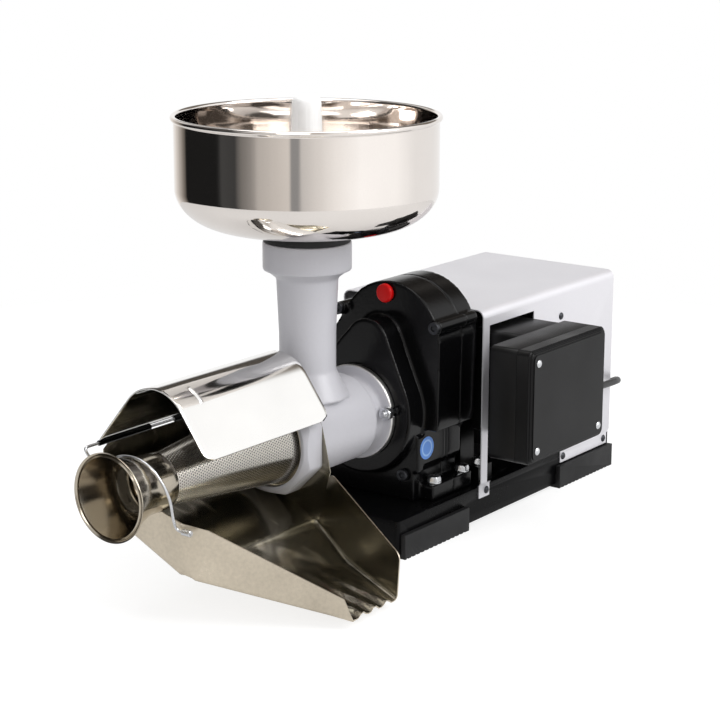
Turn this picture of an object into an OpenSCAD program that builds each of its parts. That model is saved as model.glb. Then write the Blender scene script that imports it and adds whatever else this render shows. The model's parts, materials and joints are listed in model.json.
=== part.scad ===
// Electric tomato press: a geared motor on a folded steel base drives a screw through a cast
// press body into a tapered perforated strainer. Juice falls in the drip tray, skins leave
// by the funnel at the strainer's small end. X runs along the screw towards the motor, -Y is
// the side with the switch box, Z is up and the feet stand on Z = 0.

/* [Hopper] */
// Outside diameter of the hopper's straight wall
hopper_d = 264; // [240:2:300]
// Thickness of the hopper's sheet
hopper_sheet = 1.2; // [0.8:0.1:2]
// Diameter of the rolled bead round the rim
rim_bead_d = 6; // [4:0.5:8]
// Height of the straight wall
hopper_wall_h = 69.7; // [50:1:110]
// Height of the elliptical shoulder
shoulder_h = 41; // [25:1:55]
// Width of the elliptical shoulder, measured inwards
shoulder_w = 58; // [40:1:80]
// Fall of the shallow cone below the shoulder
hopper_fall = 4.4; // [2:0.2:12]
// Outside diameter of the spigot that drops into the collar
spigot_d = 76; // [70:0.5:78]
// Length of the spigot
spigot_l = 30; // [15:1:34]

/* [Press body] */
// Height of the screw's axis above the floor
axis_h = 134.3; // [128:0.1:150]
// Outside diameter of the barrel
barrel_d = 93; // [90:0.5:96]
// Bore of the barrel
barrel_bore = 75; // [70:0.5:78]
// Distance from the hopper's axis to the barrel's front shoulder
barrel_front = 42; // [38:1:60]
// Distance from the hopper's axis to the back of the barrel
barrel_back = 57; // [50:1:70]
// Length of the threaded nose in front of the shoulder
nose_l = 18; // [14:0.5:24]
// Diameter of the nose over its thread
nose_d = 88; // [84:0.5:90]
// Length of the necked-in mounting part behind the barrel
mount_neck_l = 27; // [24:1:36]
// Diameter of the rear mounting flange
flange_d = 102; // [98:1:110]
// Thickness of the rear mounting flange
flange_t = 8; // [6:0.5:10]
// Diameter of the upright neck at its top
neck_top_d = 63; // [60:0.5:68]
// Diameter of the upright neck near the barrel
neck_low_d = 58; // [56:0.5:62]
// Bore of the upright neck
throat_d = 49; // [42:0.5:52]
// Outside diameter of the hopper collar
collar_d = 90; // [86:0.5:96]
// Height of the hopper collar
collar_h = 29; // [20:1:36]
// Height from the screw's axis to the top of the collar
collar_rise = 195.2; // [170:1:220]
// Thickness of the rubber seal under the hopper
seal_h = 9; // [6:0.5:12]

/* [Strainer and ring nut] */
// Large inside diameter of the strainer cone
cone_d1 = 84; // [80:0.5:86]
// Small inside diameter of the strainer cone
cone_d2 = 46; // [40:0.5:52]
// Length of the strainer cone
cone_l = 176; // [150:1:220]
// Thickness of the strainer's sheet
cone_sheet = 1; // [0.6:0.1:1.6]
// Diameter of the rolled ring at the large end
cone_bead_d = 5; // [4:0.5:6]
// Outside diameter of the ring nut across its corners
nut_d = 113; // [108:0.5:118]
// Number of flats on the ring nut
nut_flats = 8; // [6:1:12]
// Length of the ring nut
nut_l = 26; // [24:0.5:32]
// Large outside diameter of the waste funnel's rim
funnel_d = 81.6; // [70:0.2:90]
// Outside diameter of the waste funnel's neck
funnel_neck_d = 56; // [54:0.5:62]
// Length of the waste funnel's neck
funnel_neck_l = 26; // [16:1:40]
// Length of the waste funnel's flare
funnel_flare_l = 40; // [30:1:48]
// Sheet thickness of the waste funnel
funnel_sheet = 1; // [0.6:0.1:1.6]

/* [Screw] */
// Pitch of the screw flight
screw_pitch = 44; // [36:1:56]
// Core diameter of the screw
screw_core_d = 34; // [26:1:44]
// Clearance between the screw's flight and the barrel or strainer
screw_gap = 0.8; // [0.5:0.1:2]
// Thickness of the flight along the axis
flight_t = 7; // [4:0.5:12]

/* [Gear train] */
// Gear module
gear_m = 2; // [1.9:0.05:2.1]
// Teeth on the output gear
output_teeth = 60; // [58:1:60]
// Teeth on the idler pinion
idler_pinion_teeth = 17; // [17:1:19]
// Teeth on the motor pinion
motor_pinion_teeth = 20; // [20:1:22]
// Direction from the screw's axis to the idler's axis, in degrees
idler_dir = 107.2; // [95:0.5:115]
// Backlash of each mesh, on the pitch circle
backlash = 0.3; // [0.15:0.05:0.6]
// Diameter of the output shaft
output_shaft_d = 24; // [20:1:26]
// Diameter of the idler shaft
idler_shaft_d = 15; // [12:1:17]
// Diameter of the motor shaft
motor_shaft_d = 17; // [14:1:18]

/* [Gearbox] */
// Wall of the gearbox casting round the idler gear
gear_wall = 4.3; // [3:0.1:6]
// Radius of the gearbox's round shoulder about the screw's axis
gear_body_r = 86; // [78:1:88]
// Depth of the front casting, from the raised face's step to the joint
gear_front_l = 42; // [40:1:50]
// Depth of the rear cover
gear_rear_l = 28; // [26:1:36]
// Depth of the raised front boss
gear_nose_l = 26; // [22:1:32]
// Radius of the raised front boss
gear_nose_r = 68; // [62:1:70]
// Half width of the gearbox foot
gear_foot_w = 79; // [72:1:82]
// Thickness of the foot pads
pad_t = 17; // [12:1:20]
// Diameter of the oil plug
plug_d = 20; // [16:1:24]

/* [Motor] */
// Diameter of the motor body under its fins
motor_d = 122; // [112:1:126]
// Height of the cooling fins
fin_h = 5; // [3:0.5:6]
// Length of the motor body
motor_l = 150; // [130:1:160]
// Length of the fan cowl
cowl_l = 46; // [40:1:56]

/* [Base and cover] */
// Length of the base
base_l = 429; // [426:1:440]
// Width of the base over its skirts
base_w = 179.6; // [176:0.4:184]
// Height of the base plate's top above the floor
base_h = 40.5; // [36:0.5:46]
// Sheet thickness of the base
base_sheet = 2; // [1.5:0.1:3]
// Distance from the hopper's axis to the front of the base
base_front = 34; // [30:1:36]
// Depth of the base's skirt
skirt_h = 36; // [30:1:38]
// Sheet thickness of the motor cover
cover_sheet = 1.2; // [0.8:0.1:2]
// Length of the motor cover
cover_l = 273.6; // [270:1:280]
// Width of the motor cover
cover_w = 186.4; // [185:0.2:190]
// Height of the cover's top above the floor
cover_top = 236.8; // [230:1:250]
// Length of each rubber foot
foot_l = 118; // [90:1:140]
// Height of each rubber foot
foot_h = 26; // [20:1:32]
// Width of each rubber foot
foot_w = 36; // [30:1:44]

/* [Switch box] */
// Length of the box along the machine
box_l = 150; // [140:1:170]
// Height of the box
box_h = 121; // [110:1:130]
// Distance from the cover to the back of the box
box_standoff = 44; // [40:1:50]
// Depth of the box body
box_depth = 32; // [28:1:40]
// Depth of the lid
lid_depth = 19; // [14:1:24]
// Wall of the box mouldings
box_wall = 2.5; // [2:0.1:3.5]
// Height of the box's lower edge above the floor
box_z = 95; // [90:1:100]

/* [Guard and tray] */
// Radius of the splash guard's crown
guard_r = 43; // [38:0.5:48]
// Slope of the guard's legs from level, in degrees
guard_slope = 54; // [48:1:60]
// Height of the guard's crown above the screw's axis
guard_rise = 90.2; // [86:0.5:100]
// Length of the splash guard
guard_l = 185; // [150:1:195]
// Sheet thickness of the guard and the tray
tray_sheet = 1.2; // [0.8:0.1:1.6]
// Diameter of the bent wires
wire_d = 3; // [2.5:0.1:3.6]

/* [Pusher] */
// Diameter of the pusher at its foot
pusher_d = 36; // [30:1:38]
// Length of the pusher
pusher_l = 302; // [290:1:320]

/* [Hidden] */
$fn = 64;
// running clearance on a radius, and the gap left between parts that only lie close
run = 0.06;
gap = 0.3;

// strainer, ring nut and funnel, from the barrel's shoulder forwards
nose_end = barrel_front + nose_l;
bead_ring_r = cone_d1 / 2 + cone_bead_d / 2;
bead_outer_r = bead_ring_r + cone_bead_d / 2;
nut_back = barrel_front + tray_sheet;
nut_front = nut_back + nut_l;
cone_end = nose_end + cone_l;
funnel_lap = 8;
neck_back = cone_end - funnel_lap;
neck_front = neck_back + funnel_neck_l;
flare_front = neck_front + funnel_flare_l;
funnel_bead_r = 2.2;
front_x = -(flare_front + funnel_bead_r);

// gearbox and motor, from the barrel backwards
mount_x = barrel_back + mount_neck_l;
step_x = mount_x + gear_nose_l;
joint_x = step_x + gear_front_l;
gear_rear_x = joint_x + gear_rear_l;
front_wall = 14;
rear_wall = 16;
cavity_x0 = step_x + front_wall;
cavity_x1 = gear_rear_x - rear_wall;
idler_teeth = output_teeth + idler_pinion_teeth - motor_pinion_teeth;
centre_d = gear_m * (output_teeth + idler_pinion_teeth) / 2;
idler_y = centre_d * cos(idler_dir);
idler_z = axis_h + centre_d * sin(idler_dir);
output_tip_r = gear_m * (output_teeth / 2 + 1);
idler_tip_r = gear_m * (idler_teeth / 2 + 1);
lobe_in_r = idler_tip_r + 1;
lobe_r = lobe_in_r + gear_wall;
gear_in_r = output_tip_r + 1.2;
nose_dir = idler_dir - 8;
nose_top_r = 27;
nose_top_d = 75;
output_gear_x = [cavity_x0 + 2, cavity_x0 + 18];
idler_pinion_x = [cavity_x0 + 1, cavity_x0 + 19];
idler_gear_x = [cavity_x0 + 22, cavity_x0 + 36];
motor_pinion_x = [cavity_x0 + 21, cavity_x0 + 37];
output_bearing_r = 26;
output_bearing_w = 12;
idler_bearing_r = 17.5;
idler_bearing_w = 11;
motor_bearing_r = 20;
motor_bearing_w = 12;
shoulder_z = axis_h - 16;
block_w = 68;
block_low_w = 62;
block_x0 = step_x - 10;
pad_top = base_h + pad_t;
shield_l = 16;
motor_x0 = gear_rear_x + shield_l;
motor_x1 = motor_x0 + motor_l;
rear_shield_l = 12;
cowl_x0 = motor_x1 + 3;
cowl_x1 = motor_x1 + rear_shield_l + cowl_l;
motor_wall = 5;
stator_r = motor_d / 2 - motor_wall;
rotor_r = 32;
shaft_x1 = motor_x1 + 34;

// upper tie bolts lie in bosses on the lobe, lower ones in the corners of the block
tie_r = 4;
tie_boss_r = 7;
tie_x0 = step_x - 6;
tie_x1 = gear_rear_x - 8;
tie_places = [
    [idler_y + (lobe_r + 3.3) * cos(159), idler_z + (lobe_r + 3.3) * sin(159)],
    [idler_y + (lobe_r + 3.3) * cos(25), idler_z + (lobe_r + 3.3) * sin(25)],
    [-50, axis_h - 66],
    [50, axis_h - 66]
];

// bolts through the feet of gearbox and motor
bolt_y = gear_foot_w - 8;
bolt_x = [step_x + 15.6, gear_rear_x - 1.5, motor_x0 + 15, motor_x1 - 24];
bolt_r = 4;
bolt_hole_r = 4.3;

// base and cover
base_rear = base_front + base_l;
rear_x = base_rear;
cover_x0 = base_rear - 6.8 - cover_l;
cover_x1 = cover_x0 + cover_l;
skirt_z = base_h - skirt_h;
cover_strip = 12;
joggle_z = base_h + 4.5;
tab_z = base_h - 12.5;
foot_slot = 0.2;

// hopper, from the collar upwards
collar_top = axis_h + collar_rise;
seal_top = collar_top + seal_h;
hopper_r = hopper_d / 2;
spigot_r = spigot_d / 2;
hopper_low = seal_top + gap;
shoulder_in_r = hopper_r - shoulder_w;
shoulder_low = hopper_low + hopper_fall;
wall_low = shoulder_low + shoulder_h;
rim_z = wall_low + hopper_wall_h;
screw_r = barrel_bore / 2 - screw_gap;
pusher_low = axis_h + screw_r + 0.9;

// switch box
box_x1 = cover_x0 + 96.4;
box_x0 = box_x1 - box_l;
box_back_y = -(cover_w / 2 + box_standoff);
box_front_y = box_back_y - box_depth;
lid_y = box_front_y - lid_depth;
mount_x0 = cover_x0 + cover_strip + 2.4;
mount_x1 = box_x1 - 2;
mount_z = [box_z + 4, box_z + box_h - 3];
terminal_y = -(motor_d / 2 + 11);
switch_y = (box_back_y + box_front_y) / 2 - 0.5;
switch_z = box_z + 78;
switch_w = 14;
switch_h = 23;
gland_y = box_back_y + 25.2;
gland_z = box_z + 17;
gland_l = 10;
boot_l = 38;
cord_r = 4;
head_h = 2.4;

// guard, tray and wires
wire_r = wire_d / 2;
guard_top = axis_h + guard_rise;
guard_x1 = -(barrel_front + 4);
guard_x0 = guard_x1 - guard_l;
hinge_y = 65.5;
hinge_z = axis_h + 27.5;
hem_r = wire_r + tray_sheet + 0.05;

function unit(v) = v / norm(v);

module place() {
    translate([-(front_x + rear_x) / 2, -(lid_y - head_h + hopper_r + rim_bead_d / 2) / 2, 0]) children();
}

// a cylinder along X
module shaft(x0, x1, r, y = 0, z = axis_h) {
    translate([x0, y, z]) rotate([0, 90, 0]) cylinder(h = x1 - x0, r = r);
}

// a tapered cylinder along X
module taper(x0, x1, r0, r1, y = 0, z = axis_h) {
    translate([x0, y, z]) rotate([0, 90, 0]) cylinder(h = x1 - x0, r1 = r0, r2 = r1);
}

// an outline in Y and Z, drawn from x0 to x1
module slab(x0, x1) {
    translate([x0, 0, 0]) rotate([90, 0, 90]) linear_extrude(x1 - x0) children();
}

// a profile in radius and distance ahead of the hopper's axis, turned about the screw's axis
module turned(y = 0, z = axis_h) {
    translate([0, y, z]) rotate([0, -90, 0]) rotate_extrude() children();
}

module block(x0, x1, y0, y1, z0, z1) {
    translate([x0, y0, z0]) cube([x1 - x0, y1 - y0, z1 - z0]);
}

// directions across a path at each of its points, carried along without twist
function frames(p, u, i) = i >= len(p) ? [] :
    let (a = p[max(i - 1, 0)], b = p[min(i + 1, len(p) - 1)], t = unit(b - a), v = unit(u - (u * t) * t))
    concat([[v, cross(t, v)]], frames(p, v, i + 1));

// a tube of even sides swept along the points, with its ends square to it
module swept_tube(points, r, sides) {
    f = frames(points, [0.1, 0.2, 1], 0);
    n = len(points);
    ring = [for (i = [0 : n - 1], k = [0 : sides - 1])
        points[i] + r * (cos(k * 360 / sides) * f[i][0] + sin(k * 360 / sides) * f[i][1])];
    walls = [for (i = [0 : n - 2], k = [0 : sides - 1])
        [i * sides + k, i * sides + (k + 1) % sides, (i + 1) * sides + (k + 1) % sides, (i + 1) * sides + k]];
    polyhedron(points = ring, faces = concat([[for (k = [sides - 1 : -1 : 0]) k]], walls,
        [[for (k = [0 : sides - 1]) (n - 1) * sides + k]]), convexity = 4);
}

// a path with its corners rounded: each corner becomes a curve that starts bend before it
function rounded(p, bend) = concat([p[0]],
    [for (i = [1 : len(p) - 2], k = [0 : 4])
        let (u = unit(p[i - 1] - p[i]), v = unit(p[i + 1] - p[i]), a = k / 4,
            d = min(bend, 0.45 * min(norm(p[i - 1] - p[i]), norm(p[i + 1] - p[i]))))
        (1 - a) * (1 - a) * (p[i] + d * u) + 2 * a * (1 - a) * p[i] + a * a * (p[i] + d * v)],
    [p[len(p) - 1]]);

// a sheet of thickness t whose middle is the given triangles; edge lists its rim in order
function corner_n(p, tris, i) =
    let (n = [for (f = tris) if (f[0] == i || f[1] == i || f[2] == i)
            unit(cross(p[f[1]] - p[f[0]], p[f[2]] - p[f[0]]))],
        s = unit([for (k = [0 : 2]) [for (m = n) m[k]] * [for (m = n) 1]]))
    s / max(0.6, [for (m = n) m * s] * [for (m = n) 1 / len(n)]);
module bent_sheet(p, tris, edge, t) {
    n = len(p);
    m = len(edge);
    off = [for (i = [0 : n - 1]) t / 2 * corner_n(p, tris, i)];
    polyhedron(points = concat([for (i = [0 : n - 1]) p[i] + off[i]], [for (i = [0 : n - 1]) p[i] - off[i]]),
        faces = concat([for (f = tris) [f[2], f[1], f[0]]], [for (f = tris) [f[0] + n, f[1] + n, f[2] + n]],
            [for (k = [0 : m - 1]) let (a = edge[k], b = edge[(k + 1) % m]) [a, b, b + n]],
            [for (k = [0 : m - 1]) let (a = edge[k], b = edge[(k + 1) % m]) [a, b + n, a + n]]), convexity = 6);
}

// outline round two circles, the second at distance d in direction dir from the first;
// its straight sides lie a little inside the tangents
side_in = 0.15;
module pear(ra, rb, d, dir) {
    beta = acos((ra - rb) / d);
    c = d * [cos(dir), sin(dir)];
    circle(r = ra);
    translate(c) circle(r = rb);
    u = [cos(dir + beta), sin(dir + beta)];
    v = [cos(dir - beta), sin(dir - beta)];
    polygon([(ra - side_in) * u, c + (rb - side_in) * u, c + (rb - side_in) * v, (ra - side_in) * v]);
}

// involute spur gear in a plane, with a tooth centred on direction turn
function roll(rb, r) = sqrt(max(0, r * r / (rb * rb) - 1));
function inv_deg(rb, r) = roll(rb, r) * 180 / PI - atan(roll(rb, r));
module gear_outline(teeth, turn) {
    rp = gear_m * teeth / 2;
    rb = rp * cos(20);
    ra = rp + gear_m * 0.95;
    rf = rp - gear_m * 1.25;
    half = 90 / teeth - backlash / 4 / rp * 180 / PI + inv_deg(rb, rp);
    rs = [rf, max(rb, rf), rp - gear_m * 0.35, rp + gear_m * 0.4, ra];
    polygon([for (k = [0 : teeth - 1], s = [-1, 1], i = [0 : 4])
        let (r = rs[s < 0 ? i : 4 - i], a = turn + k * 360 / teeth + s * (half - inv_deg(rb, max(r, rb))))
        r * [cos(a), sin(a)]]);
}

module gear(x, teeth, turn, bore, y = 0, z = axis_h) {
    difference() {
        translate([0, y, z]) slab(x[0], x[1]) gear_outline(teeth, turn);
        shaft(x[0] - 1, x[1] + 1, bore, y, z);
    }
}

// ball bearing drawn as its two rings with the closed shield between them
module bearing(x0, w, r_out, r_in, y = 0, z = axis_h) {
    difference() {
        shaft(x0, x0 + w, r_out - run, y, z);
        shaft(x0 - 1, x0 + w + 1, r_in, y, z);
        for (x = [x0 - 1, x0 + w - 1]) difference() {
            shaft(x, x + 2, r_out - 3, y, z);
            shaft(x - 1, x + 3, r_in + 3, y, z);
        }
    }
}

module hex_head(r_flat, h) {
    intersection() {
        cylinder(h = h, r = r_flat / cos(30), $fn = 6);
        translate([0, 0, -h]) cylinder(h = 2 * h, r1 = r_flat * 1.75, r2 = r_flat * 1.02);
    }
}

// BASE AND COVER

module base_outline(inset) {
    r = 5 - min(inset, 4);
    x0 = base_front + inset;
    x1 = base_rear - inset;
    w = base_w / 2 - inset;
    translate([x0 + r, -w]) square([x1 - x0 - 2 * r, 2 * w]);
    translate([x0, -w + r]) square([x1 - x0, 2 * w - 2 * r]);
    for (x = [x0 + r, x1 - r], y = [-w + r, w - r]) translate([x, y]) circle(r = r, $fn = 32);
}

module base_frame() {
    color("#1c1c1e") place() difference() {
        translate([0, 0, skirt_z]) linear_extrude(skirt_h) base_outline(0);
        translate([0, 0, skirt_z - 1]) linear_extrude(skirt_h - base_sheet + 1) base_outline(base_sheet);
        for (x = bolt_x, y = [-bolt_y, bolt_y])
            translate([x, y, skirt_z]) cylinder(h = skirt_h + 1, r = bolt_hole_r);
        for (x = cover_screw_x, s = [-1, 1])
            translate([x, s * base_w / 2, screw_z]) rotate([90, 0, 0]) cylinder(h = 10, r = 2.1, center = true, $fn = 24);
        for (x = [front_foot_x[0], rear_foot_x[0]], s = [-1, 1], d = [24, foot_l - 24])
            translate([x + d, s * base_w / 2, foot_h - 8]) rotate([90, 0, 0])
                cylinder(h = 10, r = 3.2, center = true, $fn = 24);
    }
}

front_foot_x = [base_front + 5, base_front + 5 + foot_l];
rear_foot_x = [base_rear - base_sheet - 2 * foot_slot - foot_l, base_rear - base_sheet - 2 * foot_slot];
foot_out = base_w / 2 + 6.2;

// one rubber foot: a moulding with a slot for the skirt, two plugs through it and a toothed sole
module foot(x) {
    tooth = 8;
    difference() {
        block(x[0], x[1], -foot_out, -foot_out + foot_w, 0, foot_h);
        block(x[0] - 1, x[1] + 1, -base_w / 2 - foot_slot, -base_w / 2 + base_sheet + foot_slot,
            skirt_z - foot_slot, foot_h + 1);
        for (i = [0 : floor(foot_l / tooth) - 1])
            translate([x[0] + tooth * (i + 0.5), 0, 0]) rotate([0, 45, 0])
                cube([2.4, 4 * foot_out, 2.4], center = true);
        translate([x[0] - 1, -foot_out, foot_h]) rotate([45, 0, 0]) cube([foot_l + 2, 3, 3]);
    }
    for (d = [24, foot_l - 24])
        translate([x[0] + d, -base_w / 2 - foot_slot, foot_h - 8]) rotate([-90, 0, 0])
            cylinder(h = base_sheet + 2 * foot_slot, r = 3, $fn = 24);
}

module front_feet() {
    color("#141414") place() for (m = [0, 1]) mirror([0, m, 0]) foot(front_foot_x);
}

module rear_feet() {
    color("#141414") place() for (m = [0, 1]) mirror([0, m, 0]) foot(rear_foot_x);
}

module foot_bolts() {
    color("#c9ccd0") place() for (x = bolt_x, y = [-bolt_y, bolt_y]) translate([x, y, 0]) {
        translate([0, 0, pad_top]) cylinder(h = 1.6, r = 7.6);
        translate([0, 0, pad_top + 1.6]) hex_head(6.5, 5.5);
        translate([0, 0, base_h - base_sheet - 10]) cylinder(h = pad_t + base_sheet + 10, r = bolt_r);
        translate([0, 0, base_h - base_sheet - 7]) hex_head(6.5, 7);
    }
}

cover_screw_x = [cover_x0 + 14, cover_x0 + 173.4, cover_x1 - 9.5];
screw_z = base_h - 5.5;
high_screw_x = cover_x1 - 116;
high_screw_z = cover_top - 34;

// outline of the cover across the machine: round shoulders, and sides that step in over the base
module cover_outline(inset) {
    w = cover_w / 2 - inset;
    top = cover_top - inset;
    r = 9 - inset;
    step = cover_w / 2 - base_w / 2 - cover_sheet - 0.1;
    polygon(concat([[-w + step, tab_z], [-w + step, joggle_z - 3], [-w, joggle_z]],
        [for (a = [0 : 10 : 90]) [-w + r - r * cos(a), top - r + r * sin(a)]],
        [for (a = [90 : -10 : 0]) [w - r + r * cos(a), top - r + r * sin(a)]],
        [[w, joggle_z], [w - step, joggle_z - 3], [w - step, tab_z]]));
}

module motor_cover() {
    color("#d8dadc") place() difference() {
        slab(cover_x0, cover_x1) cover_outline(0);
        slab(cover_x0 - 1, cover_x1 - cover_sheet) {
            cover_outline(cover_sheet);
            translate([-base_w / 2 - 0.1, tab_z - 5]) square([base_w + 0.2, 10]);
        }
        block(cover_x1 - cover_sheet - 1, cover_x1 + 1, -cover_w, cover_w, 0, base_h + 0.3);
        for (s = [-1, 1]) scale([1, s, 1])
            block(cover_x0 + 20, cover_x1 - 106, -cover_w / 2 - 1, -cover_w / 2 + 5, tab_z - 2, joggle_z);
        block(cover_x0 + cover_strip, box_x1 + 4, -cover_w / 2 - 1, -cover_w / 2 + 3, box_z, box_z + box_h + 3);
        block(cover_x0 + cover_strip, cover_x1 - 106, -cover_w / 2 - 1, -cover_w / 2 + 5, joggle_z - 1, box_z + 1);
        for (x = cover_screw_x, s = [-1, 1])
            translate([x, s * base_w / 2, screw_z]) rotate([90, 0, 0]) cylinder(h = 12, r = 2.1, center = true, $fn = 24);
        for (i = [0 : 7]) block(cover_x1 - 4, cover_x1 + 1, -56 + 16 * i - 4, -56 + 16 * i + 4, axis_h - 36, axis_h + 36);
        for (s = [-1, 1]) translate([high_screw_x, s * cover_w / 2, high_screw_z]) rotate([90, 0, 0])
            cylinder(h = 12, r = 2.1, center = true, $fn = 24);
    }
}

// a pan head screw into the machine's side, with its head outside
module side_screw(x, y, z, l) {
    translate([x, y, z]) rotate([90, 0, 0]) {
        intersection() {
            cylinder(h = head_h + 1, r = 4.2, $fn = 32);
            translate([0, 0, head_h - 5.6]) sphere(r = 5.6, $fn = 32);
        }
        translate([0, 0, -l]) cylinder(h = l, r = 1.95, $fn = 24);
    }
}

module cover_screws() {
    color("#222226") place() for (m = [0, 1]) mirror([0, m, 0]) {
        for (x = cover_screw_x) side_screw(x, -base_w / 2 - cover_sheet - 0.1, screw_z, 8);
        side_screw(high_screw_x, -cover_w / 2, high_screw_z, 6);
    }
}

// PRESS BODY

stud_r = 4;
stud_pitch_r = 46.5;
stud_dirs = [172, 52, -68];
recess_r = 38.5;
recess_x = mount_x - flange_t;

module press_body() {
    color("#c3c6c8") place() difference() {
        union() {
            shaft(-barrel_front, barrel_back, barrel_d / 2);
            shaft(-nose_end, -barrel_front, nose_d / 2);
            taper(barrel_back - 1, barrel_back + 4, barrel_d / 2, recess_r);
            shaft(barrel_back, mount_x, recess_r);
            shaft(recess_x, mount_x, flange_d / 2);
            translate([0, 0, axis_h]) cylinder(h = 100, r1 = neck_low_d / 2, r2 = neck_low_d / 2);
            translate([0, 0, axis_h + 100]) cylinder(h = collar_rise - collar_h - 100 - 8, r1 = neck_low_d / 2,
                r2 = neck_top_d / 2);
            translate([0, 0, axis_h + 34]) cylinder(h = 30, r1 = barrel_d / 2 - 4, r2 = neck_low_d / 2 - 0.5);
            translate([0, 0, collar_top - collar_h - 8]) cylinder(h = 8.1, r1 = neck_top_d / 2, r2 = collar_d / 2 - 3);
            translate([0, 0, collar_top - collar_h]) cylinder(h = collar_h, r = collar_d / 2);
        }
        shaft(-nose_end - 1, barrel_back - 7, barrel_bore / 2);
        shaft(barrel_back - 8, mount_x + 1, output_shaft_d / 2 + 3);
        shaft(mount_x - 18, mount_x + 1, 23);
        translate([0, 0, axis_h]) cylinder(h = collar_rise + 1, r = throat_d / 2);
        translate([0, 0, hopper_low - spigot_l - 2]) cylinder(h = spigot_l, r = spigot_r + gap);
        for (a = stud_dirs) slab(recess_x - 1, mount_x + 1) translate([0, axis_h]) rotate(a)
            translate([stud_pitch_r, 0]) {
                circle(r = stud_r + 0.3);
                translate([0, -stud_r - 0.3]) square([20, 2 * stud_r + 0.6]);
            }
    }
}

module shaft_seal() {
    color("#202020") place() difference() {
        shaft(mount_x - 17.8, mount_x - 8, 22.9);
        shaft(mount_x - 19, mount_x + 1, output_shaft_d / 2 + run);
    }
}

module head_studs() {
    color("#b9bcc0") place() for (a = stud_dirs)
        shaft(recess_x - 11, mount_x + 8, stud_r, stud_pitch_r * cos(a), axis_h + stud_pitch_r * sin(a));
}

module head_nuts() {
    color("#c9ccd0") place() for (a = stud_dirs)
        translate([recess_x, stud_pitch_r * cos(a), axis_h + stud_pitch_r * sin(a)]) rotate([0, -90, 0])
            difference() {
                rotate(a) hex_head(6.5, 6.5);
                translate([0, 0, -1]) cylinder(h = 9, r = stud_r);
            }
}

module hopper_seal() {
    color("#1b1b1b") place() translate([0, 0, collar_top]) difference() {
        cylinder(h = seal_h, r = collar_d / 2 - 0.8);
        translate([0, 0, -1]) cylinder(h = seal_h + 2, r = spigot_r + gap);
    }
}

// outer line of the hopper's sheet from the spigot's foot to the rim, offset inwards by d
function hopper_line(d) = concat(
    [[spigot_r - d, hopper_low - spigot_l], [spigot_r - d, hopper_low + d * 0.4]],
    [for (a = [0 : 9 : 90]) [shoulder_in_r + (shoulder_w - d) * sin(a), wall_low - (shoulder_h - d) * cos(a)]],
    [[hopper_r - d, rim_z]]);

module hopper() {
    outer = hopper_line(0);
    inner = hopper_line(hopper_sheet);
    color("#e2e4e6") place() rotate_extrude($fn = 96) {
        polygon(concat(outer, [for (i = [len(inner) - 1 : -1 : 0]) inner[i]]));
        translate([hopper_r, rim_z]) circle(r = rim_bead_d / 2, $fn = 24);
    }
}

module pusher() {
    r = pusher_d / 2;
    top = pusher_low + pusher_l;
    color("#f4f4f2") place() rotate_extrude() polygon([[0, pusher_low], [r - 2, pusher_low], [r, pusher_low + 2],
        [r, top - 110], [r - 3.4, top - 5], [r - 5, top - 1.4], [r - 8, top], [0, top]]);
}

// STRAINER, RING NUT, FUNNEL AND SCREW

// how far the nut's corners are turned down
nut_round = 0.6;

module ring_nut() {
    r_flat = nut_d / 2 * cos(180 / nut_flats);
    color("#b9bcbe") place() difference() {
        union() {
            intersection() {
                shaft(-nut_front, -nut_back, nut_d / 2 - nut_round);
                slab(-nut_front, -nut_back) translate([0, axis_h]) rotate(180 / nut_flats)
                    circle(r = nut_d / 2, $fn = nut_flats);
                taper(-nut_front, -nut_back, r_flat - 3, r_flat + nut_l - 3);
            }
            shaft(-nut_back - 4, -nut_back, r_flat);
        }
        shaft(-nut_front - 1, -nut_back + 1, bead_outer_r - 1.4);
        shaft(-nose_end - cone_bead_d - gap, -nut_back + 1, nose_d / 2 + run);
        shaft(-nose_end - cone_bead_d - gap, -nose_end + 0.5, bead_outer_r + gap);
    }
}

function cone_r(x) = cone_d1 / 2 + (cone_d2 - cone_d1) / 2 * (x - nose_end) / cone_l;

module strainer_cone() {
    t = cone_sheet;
    color("#b8b5ac") place() turned() {
        polygon([[cone_r(nose_end), nose_end], [cone_r(nose_end) + t, nose_end], [cone_r(cone_end) + t, cone_end],
            [cone_r(cone_end), cone_end]]);
        translate([bead_ring_r, nose_end + cone_bead_d / 2]) circle(r = cone_bead_d / 2, $fn = 24);
    }
}

// outside line of the funnel from its neck to the rim
function flare(x) = funnel_neck_d / 2 + (funnel_d - funnel_neck_d) / 2 * pow((x - neck_front) / funnel_flare_l, 1.25);

module waste_funnel() {
    t = funnel_sheet;
    xs = [for (i = [0 : 8]) neck_front + funnel_flare_l * i / 8];
    color("#c9c6bc") place() turned() {
        polygon(concat([[cone_r(neck_back) + cone_sheet + run, neck_back], [funnel_neck_d / 2, neck_back]],
            [for (x = xs) [flare(x), x]], [for (i = [8 : -1 : 0]) [flare(xs[i]) - t, xs[i]]],
            [[funnel_neck_d / 2 - t, neck_back + t], [cone_r(neck_back + t) + cone_sheet + run, neck_back + t]]));
        translate([funnel_d / 2, flare_front]) circle(r = funnel_bead_r, $fn = 24);
    }
}

// cross-section of the screw: the core with one blade as wide as the flight is thick along the axis
module screw_section(r_core, r_blade) {
    half = 180 * flight_t / screw_pitch;
    circle(r = r_core, $fn = 16);
    polygon(concat([[0, 0]], [for (a = [-half, 0, half]) r_blade * [cos(a), sin(a)]]));
}

feed_x1 = barrel_back - 15;
feed_x0 = -nose_end;
press_l = cone_l - 6;
press_r0 = cone_d1 / 2 - screw_gap - 1;
press_scale = (cone_r(nose_end + press_l) - screw_gap - 1) / press_r0;

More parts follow.
